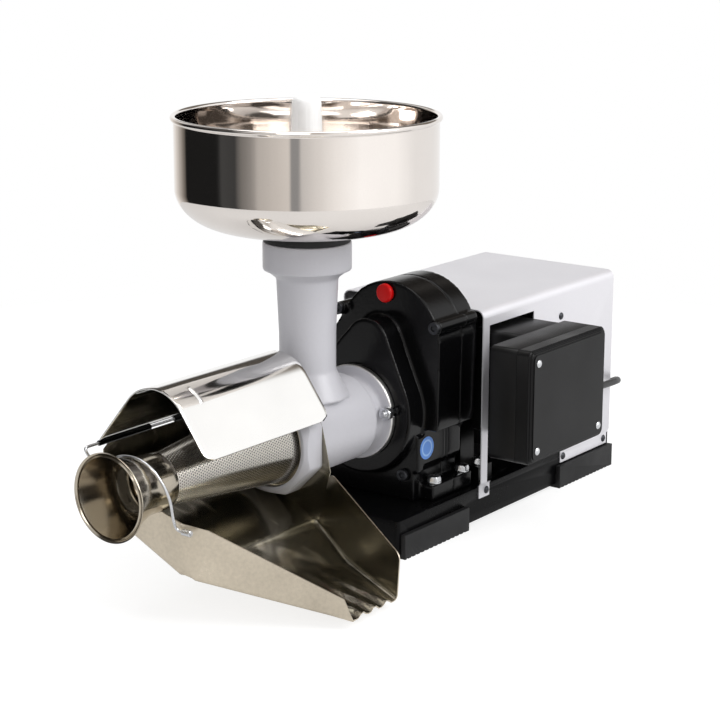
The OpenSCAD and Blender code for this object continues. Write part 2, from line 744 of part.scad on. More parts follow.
module feed_screw() {
    feed_l = feed_x1 - feed_x0;
    color("#e8e8e4") place() {
        translate([feed_x0, 0, axis_h]) rotate([90, 0, 90])
            linear_extrude(feed_l, twist = -360 * feed_l / screw_pitch, slices = ceil(12 * feed_l / screw_pitch),
                $fn = 12) screw_section(screw_core_d / 2, screw_r);
        translate([feed_x0, 0, axis_h]) rotate([90, 0, -90])
            linear_extrude(press_l, twist = 360 * press_l / screw_pitch, scale = press_scale,
                slices = ceil(12 * press_l / screw_pitch), $fn = 12) mirror([1, 0, 0])
                screw_section(screw_core_d / 2, press_r0);
    }
}

// POWER TRAIN

module output_shaft() {
    color("#9a9da1") place() union() {
        shaft(feed_x1, output_gear_x[1] + 1, output_shaft_d / 2);
        shaft(feed_x1, feed_x1 + 6, output_shaft_d / 2 + 8);
    }
}

module output_gear() {
    color("#8f8a7c") place() gear(output_gear_x, output_teeth, idler_dir, output_shaft_d / 2 + 0.02);
}

module output_bearings() {
    color("#a8abb0") place() {
        bearing(mount_x + 2, output_bearing_w, output_bearing_r, output_shaft_d / 2 + run);
        bearing(cavity_x0 - output_bearing_w, output_bearing_w, output_bearing_r, output_shaft_d / 2 + run);
    }
}

// outline of the gearbox body seen along the screw
module gearbox_outline() {
    intersection() {
        translate([0, axis_h]) pear(gear_body_r, lobe_r, centre_d, idler_dir);
        translate([-120, shoulder_z]) square([240, 240]);
    }
    polygon([[-block_low_w, base_h], [block_low_w, base_h], [block_low_w, pad_top + 15], [block_w, pad_top + 23],
        [block_w, shoulder_z + 12], [-block_w, shoulder_z + 12], [-block_w, pad_top + 23],
        [-block_low_w, pad_top + 15]]);
}

module gearbox_cavity() {
    translate([0, axis_h]) pear(gear_in_r, lobe_in_r, centre_d, idler_dir);
}

module tie_holes() {
    for (p = tie_places) shaft(step_x - 30, gear_rear_x + 30, tie_r + 0.2, p[0], p[1]);
}

module foot_holes() {
    for (x = bolt_x, y = [-bolt_y, bolt_y]) translate([x, y, base_h - 1]) cylinder(h = pad_t + 12, r = bolt_hole_r);
}

module gearbox_housing() {
    color("#101012") place() difference() {
        union() {
            slab(step_x, joint_x) gearbox_outline();
            slab(mount_x, step_x + 1) translate([0, axis_h]) pear(gear_nose_r, nose_top_r, nose_top_d, nose_dir);
            block(block_x0, step_x + 1, -block_low_w, block_low_w, base_h, pad_top + 15);
            block(block_x0, step_x + 1, -block_w, block_w, pad_top + 15, shoulder_z - 6);
            block(step_x + 2, joint_x, -gear_foot_w, gear_foot_w, base_h, pad_top);
            for (i = [0, 1]) shaft(tie_x0, joint_x, tie_boss_r, tie_places[i][0], tie_places[i][1]);
        }
        slab(cavity_x0, joint_x + 1) gearbox_cavity();
        shaft(mount_x - 1, cavity_x0 + 1, output_shaft_d / 2 + 6);
        shaft(mount_x - 1, mount_x + 2 + output_bearing_w, output_bearing_r);
        shaft(cavity_x0 - output_bearing_w, cavity_x0 + 1, output_bearing_r);
        shaft(cavity_x0 - idler_bearing_w, cavity_x0 + 1, idler_bearing_r, idler_y, idler_z);
        shaft(step_x - 1, cavity_x0 + 1, plug_d / 2 - 3, plug_y, plug_z);
        tie_holes();
        foot_holes();
        for (a = stud_dirs)
            shaft(mount_x - 1, mount_x + 10, stud_r + 0.1, stud_pitch_r * cos(a), axis_h + stud_pitch_r * sin(a));
    }
}

module gearbox_rear_cover() {
    color("#131315") place() difference() {
        union() {
            slab(joint_x, gear_rear_x) gearbox_outline();
            block(joint_x, gear_rear_x + 6, -gear_foot_w, gear_foot_w, base_h, pad_top);
            for (i = [0, 1]) shaft(joint_x, tie_x1, tie_boss_r, tie_places[i][0], tie_places[i][1]);
        }
        slab(joint_x - 1, cavity_x1) gearbox_cavity();
        shaft(cavity_x1 - 1, gear_rear_x + 1, motor_shaft_d / 2 + 4);
        shaft(cavity_x1 - 1, cavity_x1 + idler_bearing_w, idler_bearing_r, idler_y, idler_z);
        tie_holes();
        foot_holes();
    }
}

plug_y = idler_y + 4.5;
plug_z = idler_z + lobe_in_r - plug_d / 2 + 1.6;

module oil_plug() {
    color("#c41414") place() {
        shaft(step_x - 4, step_x, plug_d / 2, plug_y, plug_z);
        taper(step_x - 5.2, step_x - 4, plug_d / 2 - 1.4, plug_d / 2, plug_y, plug_z);
        shaft(step_x, step_x + 8, plug_d / 2 - 3.1, plug_y, plug_z);
    }
}

module tie_bolts() {
    color("#3a3d44") place() for (i = [0 : 3]) {
        x = i < 2 ? tie_x0 : block_x0;
        p = tie_places[i];
        shaft(x, tie_x1 - 2, tie_r, p[0], p[1]);
        difference() {
            shaft(x - 5, x, 6.4, p[0], p[1]);
            translate([x - 6, p[0], p[1]]) rotate([0, 90, 0]) cylinder(h = 4, r = 3.4, $fn = 6);
        }
    }
}

module idler_shaft() {
    r = idler_shaft_d / 2;
    color("#94979b") place() {
        shaft(cavity_x0 - idler_bearing_w, cavity_x1 + idler_bearing_w, r, idler_y, idler_z);
        gear(idler_pinion_x, idler_pinion_teeth, idler_dir + 180 + 180 / idler_pinion_teeth, r - 0.5, idler_y, idler_z);
    }
}

module idler_gear() {
    color("#8f8a7c") place()
        gear(idler_gear_x, idler_teeth, idler_dir + 180, idler_shaft_d / 2 + 0.02, idler_y, idler_z);
}

module idler_bearings() {
    color("#a8abb0") place() for (x = [cavity_x0 - idler_bearing_w, cavity_x1])
        bearing(x, idler_bearing_w, idler_bearing_r, idler_shaft_d / 2 + run, idler_y, idler_z);
}

module gear_sticker() {
    color("#5b8fd6") place() translate([step_x + 6, -block_w, axis_h - 37]) rotate([90, 0, 0])
        cylinder(h = 0.3, r = 12.3);
}

// MOTOR

module motor_foot(x0, x1) {
    for (m = [0, 1]) mirror([0, m, 0]) {
        block(x0, x1, -gear_foot_w, -40, base_h, pad_top);
        block(x0, x1, -55, -40, base_h, axis_h - 30);
    }
}

module motor_front_shield() {
    color("#141416") place() difference() {
        union() {
            shaft(gear_rear_x, motor_x0, motor_d / 2);
            shaft(motor_x0 - 5, motor_x0, motor_d / 2 + fin_h);
        }
        shaft(gear_rear_x - 1, motor_x0 + 1, motor_shaft_d / 2 + 3);
        shaft(motor_x0 - motor_bearing_w, motor_x0 + 1, motor_bearing_r);
    }
}

module motor_body() {
    color("#17171a") place() difference() {
        union() {
            shaft(motor_x0, motor_x1, motor_d / 2);
            for (a = [-18 : 12 : 198]) translate([motor_x0, 0, axis_h]) rotate([a, 0, 0])
                translate([0.5, motor_d / 2 - 1, -1.2]) cube([motor_l - 1, fin_h + 1, 2.4]);
            motor_foot(bolt_x[2] - 12, bolt_x[2] + 14);
            motor_foot(bolt_x[3] - 14, bolt_x[3] + 14);
            block(mount_x0 + 8, mount_x1 - 8, terminal_y, -motor_d / 2 + 12, axis_h - 24, axis_h + 26);
        }
        shaft(motor_x0 - 1, motor_x1 + 1, stator_r);
        foot_holes();
    }
}

module motor_stator() {
    color("#7d5a3a") place() difference() {
        shaft(motor_x0 + 26, motor_x1 - 20, stator_r);
        shaft(motor_x0 + 25, motor_x1 - 19, rotor_r + 0.6);
    }
}

module motor_rotor() {
    color("#8a8d92") place() {
        shaft(motor_pinion_x[0], shaft_x1, motor_shaft_d / 2);
        shaft(motor_x0 + 26, motor_x1 - 20, rotor_r);
    }
}

module motor_pinion() {
    color("#8f8a7c") place() gear(motor_pinion_x, motor_pinion_teeth, idler_dir + 180 / motor_pinion_teeth,
        motor_shaft_d / 2 + 0.02);
}

module motor_bearings() {
    color("#a8abb0") place() for (x = [motor_x0 - motor_bearing_w, motor_x1])
        bearing(x, motor_bearing_w - 1, motor_bearing_r, motor_shaft_d / 2 + run);
}

module motor_rear_shield() {
    color("#141416") place() difference() {
        union() {
            shaft(motor_x1, motor_x1 + rear_shield_l, motor_d / 2 - 3);
            shaft(motor_x1, motor_x1 + 3, motor_d / 2 + fin_h);
        }
        shaft(motor_x1 - 1, motor_x1 + motor_bearing_w, motor_bearing_r);
        shaft(motor_x1 - 1, motor_x1 + rear_shield_l + 1, motor_shaft_d / 2 + 1);
    }
}

module motor_fan() {
    x0 = motor_x1 + rear_shield_l + 4;
    color("#2b2b2e") place() difference() {
        union() {
            shaft(x0, x0 + 16, 16);
            shaft(x0, x0 + 2.4, 50);
            for (i = [0 : 7]) translate([x0, 0, axis_h]) rotate([i * 45 + 10, 0, 0])
                translate([0.5, 13, -1.2]) cube([15, 41, 2.4]);
        }
        shaft(x0 - 1, x0 + 17, motor_shaft_d / 2 + 0.02);
    }
}

module fan_cowl() {
    color("#1d1d20") place() difference() {
        shaft(cowl_x0, cowl_x1, motor_d / 2);
        shaft(cowl_x0 - 1, cowl_x1 - 2, motor_d / 2 - 2.5);
        for (i = [-4 : 4])
            block(cowl_x1 - 3, cowl_x1 + 1, i * 11 - 3, i * 11 + 3,
                axis_h - sqrt(48 * 48 - i * i * 121), axis_h + sqrt(48 * 48 - i * i * 121));
    }
}

// SPLASH GUARD, TRAY AND WIRES

leg_y = guard_r * sin(guard_slope);
leg_z = guard_top - guard_r + guard_r * cos(guard_slope);
guard_low = hinge_z + hem_r;
foot_y = leg_y + (leg_z - guard_low) / tan(guard_slope);

// one face of the guard's bent sheet seen along the screw, at radius r and with its legs moved in by d
function guard_line(r, d) = concat([[-foot_y + d * sin(guard_slope), guard_low - d * cos(guard_slope)]],
    [for (a = [-guard_slope : guard_slope / 12 : guard_slope]) [r * sin(a), guard_top - guard_r + r * cos(a)]],
    [[foot_y - d * sin(guard_slope), guard_low - d * cos(guard_slope)]]);

module guard_outline() {
    inner = guard_line(guard_r - tray_sheet, tray_sheet);
    polygon(concat(guard_line(guard_r, 0), [for (i = [len(inner) - 1 : -1 : 0]) inner[i]]));
}

module splash_guard() {
    r = 9;
    color("#e6e6e4") place() {
        intersection() {
            slab(guard_x0 - guard_lean, guard_x1) guard_outline();
            union() {
                rotate([90, 0, 0]) linear_extrude(100) {
                    translate([guard_x0 + r, guard_low]) square([guard_l - 2 * r, 100]);
                    translate([guard_x0, guard_low + r]) square([guard_l, 100]);
                    for (x = [guard_x0 + r, guard_x1 - r]) translate([x, guard_low + r]) circle(r = r);
                }
                translate([0, 100, 0]) rotate([90, 0, 0]) linear_extrude(100.01) polygon([[guard_x0 - guard_lean, guard_low],
                    [guard_x0, leg_z], [guard_x0, guard_top + 9], [guard_x1, guard_top + 9], [guard_x1, guard_low]]);
            }
        }
        for (x = hem_spans) difference() {
            union() {
                shaft(x[0], x[1], hem_r, hinge_y, hinge_z);
                slab(x[0], x[1]) polygon([[foot_y, guard_low + 0.6], [foot_y - 1.2, guard_low + 0.6],
                    [hinge_y - 1.2, hinge_z + 1.6], [hinge_y + 1.4, hinge_z + 1.4]]);
            }
            shaft(x[0] - 1, x[1] + 1, wire_r + 0.05, hinge_y, hinge_z);
        }
        slab(rest_x, rest_x + tray_sheet) polygon(concat(
            [for (y = [-rest_y + 4, -rest_y, -rest_y - 4])
                [y, guard_top - guard_r + sqrt(pow(guard_r - tray_sheet / 2, 2) - y * y)]],
            [[-rest_y - 4, rest_z], [-rest_y + 4, rest_z]]));
    }
}

// how far the far leg leans forwards, and the hem's two lengths with the slot between them
guard_lean = 7;
hem_spans = [[guard_x0 - guard_lean, guard_x0 + 65], [guard_x0 + 100, guard_x1 - 14]];
rest_y = 34;
rest_x = -(nut_back + 4) + gap;
rest_z = axis_h + sqrt(pow(nut_d / 2 - nut_round, 2) - pow(rest_y - 4, 2)) + gap;

// the bent wire that carries the guard's hinge, standing on the tray
module guard_wire() {
    x0 = guard_x0 - 27;
    x1 = guard_x1 - 6;
    color("#c9cbcd") place() swept_tube(rounded([tray_far_front + [-1, 0, -8], [x0 + 6, hinge_y - 3, hinge_z - 12],
        [x0, hinge_y, hinge_z], [x1, hinge_y, hinge_z], [x1 + 1, hinge_y - 3, hinge_z - 12],
        tray_far_rear + [-3, 0, -8]], 6), wire_r, 12);
}

// corner points of the tray, all on the middle of its sheet
plate_x = -(barrel_front + tray_sheet / 2);
plate_r = 55;
wall_x = plate_x - 194.4;
tray_far_rear = [plate_x, 60, axis_h - 26];
tray_far_front = [wall_x, 56, axis_h - 27];
wing_top = [plate_x, -62, axis_h - 25.7];
fold_low = [plate_x, -46.5, axis_h - 82.5];
far_low_rear = [plate_x, 50, axis_h - 40.4];
far_low_front = [wall_x, 46, axis_h - 47];
front_corner = [wall_x, -38, axis_h - 86.5];
spout_rear = [plate_x - 32.4, -168, axis_h - 126.3];
spout_front = [plate_x - 108.4, -165, axis_h - 125.3];
spout_rear_top = [plate_x - 29.4, -169, axis_h - 81.5];
spout_front_top = [plate_x - 111, -164, axis_h - 103];
bend_rear = [plate_x - 14.6, -99, axis_h - 110];
wall_top_low = [wall_x + 14.5, -60, axis_h - 45.3];
wall_top_mid = [wall_x, -32, axis_h - 30.8];
wall_top_peak = [wall_x, -10, axis_h - 24.3];
wall_top_far = [wall_x, 12, axis_h - 24.3];
lug_z = axis_h - 38.5;
lug_r = 3.2;
lug_y = 47;
lug_l = 10;
lug_x = wall_x - lug_r - 0.3;

// the tray's corners in order: far side, floor, spout, near wing, front wall
tray_points = [far_low_rear, tray_far_rear, far_low_front, tray_far_front, fold_low, front_corner, bend_rear,
    spout_rear, spout_front, spout_rear_top, spout_front_top, wing_top, wall_top_low, wall_top_mid,
    wall_top_peak, wall_top_far];
tray_panels = [[0, 1, 3], [0, 3, 2], [4, 0, 2], [4, 2, 5], [4, 5, 6], [6, 5, 8], [6, 8, 7], [11, 4, 6], [11, 6, 9],
    [6, 7, 9], [2, 3, 15], [2, 15, 14], [2, 14, 13], [2, 13, 5], [5, 13, 12], [5, 12, 8], [8, 12, 10]];
tray_edge = [0, 1, 3, 15, 14, 13, 12, 10, 8, 7, 9, 11, 4];

module drip_tray() {
    t = tray_sheet;
    color("#b9b6ae") place() {
        difference() {
            union() {
                slab(plate_x - t / 2, plate_x + t / 2) {
                    translate([0, axis_h]) circle(r = plate_r);
                    polygon([[wing_top[1], wing_top[2]], [-plate_r * cos(20), axis_h + plate_r * sin(20)],
                        [plate_r * cos(20), axis_h + plate_r * sin(20)], [tray_far_rear[1], tray_far_rear[2]],
                        [far_low_rear[1], far_low_rear[2]], [fold_low[1], fold_low[2]]]);
                }
                bent_sheet(tray_points, tray_panels, tray_edge, t);
            }
            shaft(plate_x - 5, plate_x + 5, nose_d / 2 + 0.2);
            shaft(wall_x - 5, wall_x + 5, funnel_neck_d / 2 + gap);
        }
        difference() {
            union() {
                translate([0, 0, lug_z - 5]) linear_extrude(6) polygon([[wall_x - 3, -lug_y - 1.5],
                    [wall_x + 9, -lug_y - 1.5], [wall_x + 5.6, -lug_y + lug_l / 2], [wall_x - 3, -lug_y + lug_l / 2]]);
                for (s = [-1, 1]) translate([lug_x, s * lug_y, lug_z]) rotate([-90, 0, 0])
                    cylinder(h = lug_l, r = lug_r, center = true, $fn = 32);
            }
            for (s = [-1, 1]) translate([lug_x, s * lug_y, lug_z]) rotate([-90, 0, 0])
                cylinder(h = lug_l + 20, r = wire_r + 0.05, center = true, $fn = 32);
        }
    }
}

wire_bend_r = 7;
bail_x = wall_x - 25.6;
bail_top = axis_h + flare(-bail_x + wire_r) + wire_r + gap;
bail_side = [[lug_x, lug_y + lug_l / 2 + 1, lug_z], [lug_x, lug_y - lug_l / 2 - wire_bend_r - 0.8, lug_z],
    [wall_x - 9.5, 36, lug_z + 12], [wall_x - 14.5, 38, lug_z + 30], [wall_x - 20, 36, lug_z + 46], [wall_x - 24, 26, lug_z + 62],
    [bail_x + 0.2, 14, bail_top - 2]];

module tray_bail() {
    far = [for (i = [len(bail_side) - 1 : -1 : 0]) [bail_side[i][0], bail_side[i][1], bail_side[i][2]]];
    near = [for (p = bail_side) [p[0], -p[1], p[2]]];
    color("#d0d2d4") place()
        swept_tube(rounded(concat(near, [[bail_x, 0, bail_top]], far), wire_bend_r), wire_r, 12);
}

// SWITCH BOX

module box_shell(x0, x1, y0, y1, z0, z1, r) {
    translate([0, y1, 0]) rotate([90, 0, 0]) linear_extrude(y1 - y0) {
        translate([x0 + r, z0]) square([x1 - x0 - 2 * r, z1 - z0]);
        translate([x0, z0 + r]) square([x1 - x0, z1 - z0 - 2 * r]);
        for (x = [x0 + r, x1 - r], z = [z0 + r, z1 - r]) translate([x, z]) circle(r = r, $fn = 32);
    }
}

module box_mount() {
    w = box_wall;
    color("#1a1a1b") place() difference() {
        box_shell(mount_x0, mount_x1, box_back_y, terminal_y, mount_z[0], mount_z[1], 5);
        box_shell(mount_x0 + w, mount_x1 - w, box_back_y - 1, terminal_y - w, mount_z[0] + w, mount_z[1] - w, 3);
        shaft(mount_x1 - 5, mount_x1 + 1, 6.1, gland_y, gland_z);
    }
}

module switch_box() {
    w = box_wall;
    color("#1a1a1b") place() difference() {
        box_shell(box_x0, box_x1, box_front_y, box_back_y, box_z, box_z + box_h, 6);
        box_shell(box_x0 + w, box_x1 - w, box_front_y - 1, box_back_y - w, box_z + w, box_z + box_h - w, 4);
        box_shell(mount_x0 + 12, mount_x1 - 12, box_back_y - 9, box_back_y + 1, mount_z[0] + 12, mount_z[1] - 12, 4);
        block(box_x1 - 5, box_x1 + 1, switch_y - switch_w / 2 - 2.2, switch_y + switch_w / 2 + 2.2,
            switch_z - switch_h / 2 - 2.2, switch_z + switch_h / 2 + 2.2);
    }
}

module box_lid() {
    w = box_wall;
    color("#1d1d1e") place() difference() {
        union() {
            box_shell(box_x0, box_x1, lid_y + 5, box_front_y - 0.4, box_z, box_z + box_h, 6);
            for (k = [[4, 0.5], [3, 1.2], [2, 2.1], [1, 3.3], [0, 5]])
                box_shell(box_x0 + k[1], box_x1 - k[1], lid_y + k[0], lid_y + 6, box_z + k[1], box_z + box_h - k[1], 6);
            box_shell(box_x0 + w + gap, box_x1 - w - gap, box_front_y - 2, box_front_y + 2.5, box_z + w + gap,
                box_z + box_h - w - gap, 4);
        }
        box_shell(box_x0 + 2 * w, box_x1 - 2 * w, lid_y + 5, box_front_y + 4, box_z + 2 * w, box_z + box_h - 2 * w, 3);
        for (p = lid_screw_places) translate([p[0], lid_y, p[1]]) rotate([90, 0, 0])
            cylinder(h = 40, r = 2.1, center = true, $fn = 24);
    }
}

lid_screw_places = [[box_x0 + 13, box_z + box_h - 14], [box_x0 + 13, box_z + 14], [box_x1 - 14, box_z + 14]];

module lid_screws() {
    color("#d5d7d9") place() for (p = lid_screw_places) side_screw(p[0], lid_y, p[1], 12);
}

module capacitor() {
    y = (box_back_y - box_wall + box_front_y) / 2;
    color("#d9d9d6") place() {
        shaft(box_x0 + 14, box_x0 + 96, 13, y, box_z + box_wall + 13);
        shaft(box_x0 + 96, box_x0 + 104, 5, y, box_z + box_wall + 13);
    }
}

module switch_bezel() {
    w = switch_w / 2;
    h = switch_h / 2;
    color("#0f0f10") place() difference() {
        union() {
            block(box_x1, box_x1 + 2, switch_y - w - 3.6, switch_y + w + 3.6, switch_z - h - 3.6, switch_z + h + 3.6);
            block(box_x1 - 14, box_x1, switch_y - w - 2, switch_y + w + 2, switch_z - h - 2, switch_z + h + 2);
        }
        block(box_x1 - 12, box_x1 + 3, switch_y - w, switch_y + w, switch_z - h, switch_z + h);
    }
}

module switch_rocker() {
    w = switch_w / 2 - gap;
    h = switch_h / 2 - 1.2;
    tilt = 8;
    color("#b01818") place() translate([box_x1 - 3, switch_y, switch_z]) rotate([0, tilt, 0]) {
        translate([0, w, 0]) rotate([90, 0, 0]) linear_extrude(2 * w)
            polygon([[6.4, -h], [4.6, 0], [6.4, h], [0, h - 0.4], [-4, 3], [-4, -3], [0, -h + 0.4]]);
        translate([0, -w - gap + 0.1, 0]) rotate([-90, 0, 0]) cylinder(h = 2 * (w + gap) - 0.2, r = 2, $fn = 24);
    }
}

// CORD

// hand-chosen route from the boot's end to the coil, in the frame of the hopper's axis
cord_route = [[325, -112, 112], [350, -112, 112], [375, -111, 112], [400, -110, 111], [425, -108, 109], [446, -105, 107],
    [463, -99, 104], [475, -89, 100], [482, -76, 93], [486, -61, 82], [488, -46, 67], [489, -31, 50], [490, -16, 33],
    [493, -1, 18], [496, 14, 9], [500, 32, 5]];
tail_route = [[500, 72, 12.4], [499, 84, 12], [497.5, 96, 12.5], [496, 108, 14], [494.5, 120, 16], [493, 132, 18],
    [491.5, 144, 19]];
coil_c = [549, 52];
coil_r = 45;

module cord_gland() {
    color("#18181a") place() {
        shaft(mount_x1 - box_wall - 6, mount_x1, 6, gland_y, gland_z);
        translate([mount_x1, gland_y, gland_z]) rotate([0, 90, 0]) hex_head(9, gland_l);
        taper(mount_x1 + gland_l, mount_x1 + gland_l + boot_l, 7, cord_r + 0.6, gland_y, gland_z);
    }
}

module power_cord() {
    color("#151517") place() swept_tube(cord_route, cord_r, 8);
}

module cord_coil() {
    color("#151517") place() translate([coil_c[0], coil_c[1], 0]) rotate_extrude()
        translate([coil_r - 2 * cord_r, 0]) square([4 * cord_r, 4 * cord_r]);
}

module cord_tail() {
    color("#151517") place() swept_tube(tail_route, cord_r, 8);
}

plug_turn = 7.1;
plug_r = 18.5;
module plug() {
    color("#161618") place() translate(tail_route[len(tail_route) - 1]) rotate([-90, 0, plug_turn]) difference() {
        union() {
            cylinder(h = 10, r1 = cord_r + 1.5, r2 = 8);
            translate([0, 0, 10]) cylinder(h = 18, r1 = 8, r2 = 13);
            translate([0, 0, 28]) cylinder(h = 4, r1 = 13, r2 = plug_r);
            translate([0, 0, 32]) cylinder(h = 9, r = plug_r);
            for (s = [-1, 1]) translate([s * 9.5, 0, 41]) cylinder(h = 19, r = 2.4, $fn = 24);
        }
        for (s = [-1, 1]) translate([s * (plug_r + 1), 0, 36]) cube([6, 5, 12], center = true);
    }
}

base_frame();
front_feet();
rear_feet();
foot_bolts();
motor_cover();
cover_screws();
press_body();
shaft_seal();
head_studs();
head_nuts();
hopper_seal();
hopper();
pusher();
ring_nut();
strainer_cone();
waste_funnel();
feed_screw();
output_shaft();
output_gear();
output_bearings();
gearbox_housing();
gearbox_rear_cover();
oil_plug();
tie_bolts();
idler_shaft();
idler_gear();
idler_bearings();
gear_sticker();
motor_front_shield();
motor_body();
motor_stator();
motor_rotor();
motor_pinion();
motor_bearings();
motor_rear_shield();
motor_fan();
fan_cowl();
splash_guard();
guard_wire();
drip_tray();
tray_bail();
box_mount();
switch_box();
box_lid();
lid_screws();
capacitor();
switch_bezel();
switch_rocker();
cord_gland();
power_cord();
cord_coil();
cord_tail();
plug();
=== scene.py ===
import json
from math import cos, pi, radians, sin, sqrt, tan

import bmesh
import bpy
from mathutils import Matrix, Vector


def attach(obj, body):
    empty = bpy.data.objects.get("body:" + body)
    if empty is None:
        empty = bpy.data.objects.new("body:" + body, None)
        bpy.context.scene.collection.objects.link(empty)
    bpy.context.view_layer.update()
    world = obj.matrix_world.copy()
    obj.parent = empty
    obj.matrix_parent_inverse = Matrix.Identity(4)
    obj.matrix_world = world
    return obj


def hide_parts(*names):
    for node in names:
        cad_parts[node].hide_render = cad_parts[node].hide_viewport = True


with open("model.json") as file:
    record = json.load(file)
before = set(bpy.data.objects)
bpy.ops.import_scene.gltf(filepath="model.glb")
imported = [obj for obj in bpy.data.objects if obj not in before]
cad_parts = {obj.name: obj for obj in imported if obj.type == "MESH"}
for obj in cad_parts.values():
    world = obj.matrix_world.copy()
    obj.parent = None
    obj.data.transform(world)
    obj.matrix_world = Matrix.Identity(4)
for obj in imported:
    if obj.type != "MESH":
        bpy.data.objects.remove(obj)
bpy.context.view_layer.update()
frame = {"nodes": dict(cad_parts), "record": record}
bodies = frame["record"]["behaviour"]["bodies"]
body_of_node = {name: body for body, names in bodies.items() for name in names}


# CAMERA
# The camera stands where the photograph was taken from: in front of the waste
# outlet, on the switch box side, a little above the machine.
middle_x, middle_y = 83.4, -27.8


def at(x, y, z):
    """Millimetres from the hopper's axis on the table, to the row's frame in metres."""
    return Vector(((x - middle_x) / 1000, (y - middle_y) / 1000, z / 1000))


def placed(name, data):
    """A new object in the scene that holds the given data."""
    obj = bpy.data.objects.new(name, data)
    bpy.context.scene.collection.objects.link(obj)
    return obj


azimuth, elevation, roll = radians(-53.155), radians(14.111), radians(0.112)
back = Vector((sin(azimuth) * cos(elevation), -cos(azimuth) * cos(elevation), sin(elevation)))
side = (-back).cross(Vector((0, 0, 1))).normalized()
up = side.cross(-back)
side, up = side * cos(roll) + up * sin(roll), up * cos(roll) - side * sin(roll)
focal_pixels, picture_pixels = 2023.44, 720
lens = bpy.data.cameras.new("studio_camera")
lens.sensor_width = 36
lens.lens = focal_pixels / picture_pixels * lens.sensor_width
lens.clip_end = 30
camera = placed("studio_camera", lens)
camera_place = at(-1566.33, -1240.19, 707.96)
camera.matrix_world = Matrix.Translation(camera_place) @ Matrix((side, up, back)).transposed().to_4x4()
bpy.context.scene.camera = camera


# MAINS CORD
# Black 8 mm rubber-sheathed flex. It leaves the gland on the box, passes along the
# cover, turns round its rear corner and hangs down to a coil on the table behind.
def feed(tree, socket, value):
    """Gives a socket a plain value, or links another node's output to it."""
    if isinstance(value, bpy.types.NodeSocket):
        tree.links.new(value, socket)
    elif socket.type == "RGBA":
        socket.default_value = (*value[:3], 1)
    else:
        socket.default_value = value


def node(tree, kind, inputs=None, **settings):
    """A node with its settings, and its inputs fed by name or number."""
    made = tree.nodes.new(kind)
    for key, value in settings.items():
        setattr(made, key, value)
    for key, value in (inputs or {}).items():
        feed(tree, made.inputs[key], value)
    return made


def calc(tree, operation, *values):
    """The result of one Math node; a value is a number or another node's output."""
    return node(tree, "ShaderNodeMath", dict(enumerate(values)), operation=operation).outputs[0]


def spread(tree, value, from_min, from_max, to_min=0.0, to_max=1.0, kind="LINEAR"):
    """Carries a value from one range over to another, and holds it at the ends."""
    inputs = {"Value": value, "From Min": from_min, "From Max": from_max, "To Min": to_min, "To Max": to_max}
    return node(tree, "ShaderNodeMapRange", inputs, interpolation_type=kind).outputs["Result"]


def mixed(tree, share, first, second, kind="MIX"):
    """Two colours mixed; each is a colour or another node's output."""
    inputs = {0: share, 6: first, 7: second}
    return node(tree, "ShaderNodeMix", inputs, data_type="RGBA", blend_type=kind).outputs[2]


def material(name, base, metallic=0.0, roughness=0.5):
    """A new material with its Principled shader set to plain values."""
    m = bpy.data.materials.new(name)
    m.use_nodes = True
    shader = m.node_tree.nodes["Principled BSDF"]
    for label, value in (("Base Color", base), ("Metallic", metallic), ("Roughness", roughness)):
        feed(m.node_tree, shader.inputs[label], value)
    return m, m.node_tree, shader


def new_group(name, kind, inputs, outputs):
    """A node group with named sockets, each given with its kind, and the ends that read and fill them."""
    tree = bpy.data.node_groups.new(name, kind)
    for in_out, sockets in (("INPUT", inputs), ("OUTPUT", outputs)):
        for label, socket in sockets.items():
            tree.interface.new_socket(name=label, in_out=in_out, socket_type="NodeSocket" + socket)
    return tree, node(tree, "NodeGroupInput").outputs, node(tree, "NodeGroupOutput").inputs


def surface_mottle():
    """Fine grain with larger soft patches over it: a value round 1 and a height."""
    tree, given, result = new_group("surface_mottle", "ShaderNodeTree",
                                    {"Grain per m": "Float", "Patch per m": "Float", "Depth": "Float"},
                                    {"Value": "Float", "Height": "Float"})
    where = node(tree, "ShaderNodeTexCoord").outputs["Object"]
    fine = node(tree, "ShaderNodeTexNoise", {"Vector": where, "Scale": given["Grain per m"], "Detail": 3.0})
    wide = node(tree, "ShaderNodeTexNoise", {"Vector": where, "Scale": given["Patch per m"], "Detail": 2.0})
    fine_share = 0.35
    both = calc(tree, "MULTIPLY_ADD", fine.outputs["Fac"], fine_share, wide.outputs["Fac"])
    swing = calc(tree, "SUBTRACT", both, (1 + fine_share) / 2)
    feed(tree, result["Value"], calc(tree, "MULTIPLY_ADD", swing, given["Depth"], 1.0))
    feed(tree, result["Height"], fine.outputs["Fac"])
    return tree


mottle = surface_mottle()


def add_bump(tree, shader, height, strength, distance):
    bump = node(tree, "ShaderNodeBump", {"Height": height, "Strength": strength, "Distance": distance})
    feed(tree, shader.inputs["Normal"], bump.outputs["Normal"])


def add_mottle(tree, shader, grain, patch, depth, bump=None, rough_share=0.25):
    """Varies colour and roughness with the mottle, and adds its grain as a bump of (strength, height)."""
    marks = node(tree, "ShaderNodeGroup", {"Grain per m": grain, "Patch per m": patch, "Depth": depth},
                 node_tree=mottle).outputs
    base, rough = shader.inputs["Base Color"], shader.inputs["Roughness"]
    feed(tree, base, mixed(tree, 1.0, base.default_value, marks["Value"], "MULTIPLY"))
    middle, swing, reach = rough.default_value, rough.default_value * rough_share, depth * 0.4
    smoothest = 0.02
    feed(tree, rough, spread(tree, marks["Value"], 1 - reach, 1 + reach, middle + swing,
                             max(middle - swing, smoothest)))
    if bump:
        add_bump(tree, shader, marks["Height"], *bump)


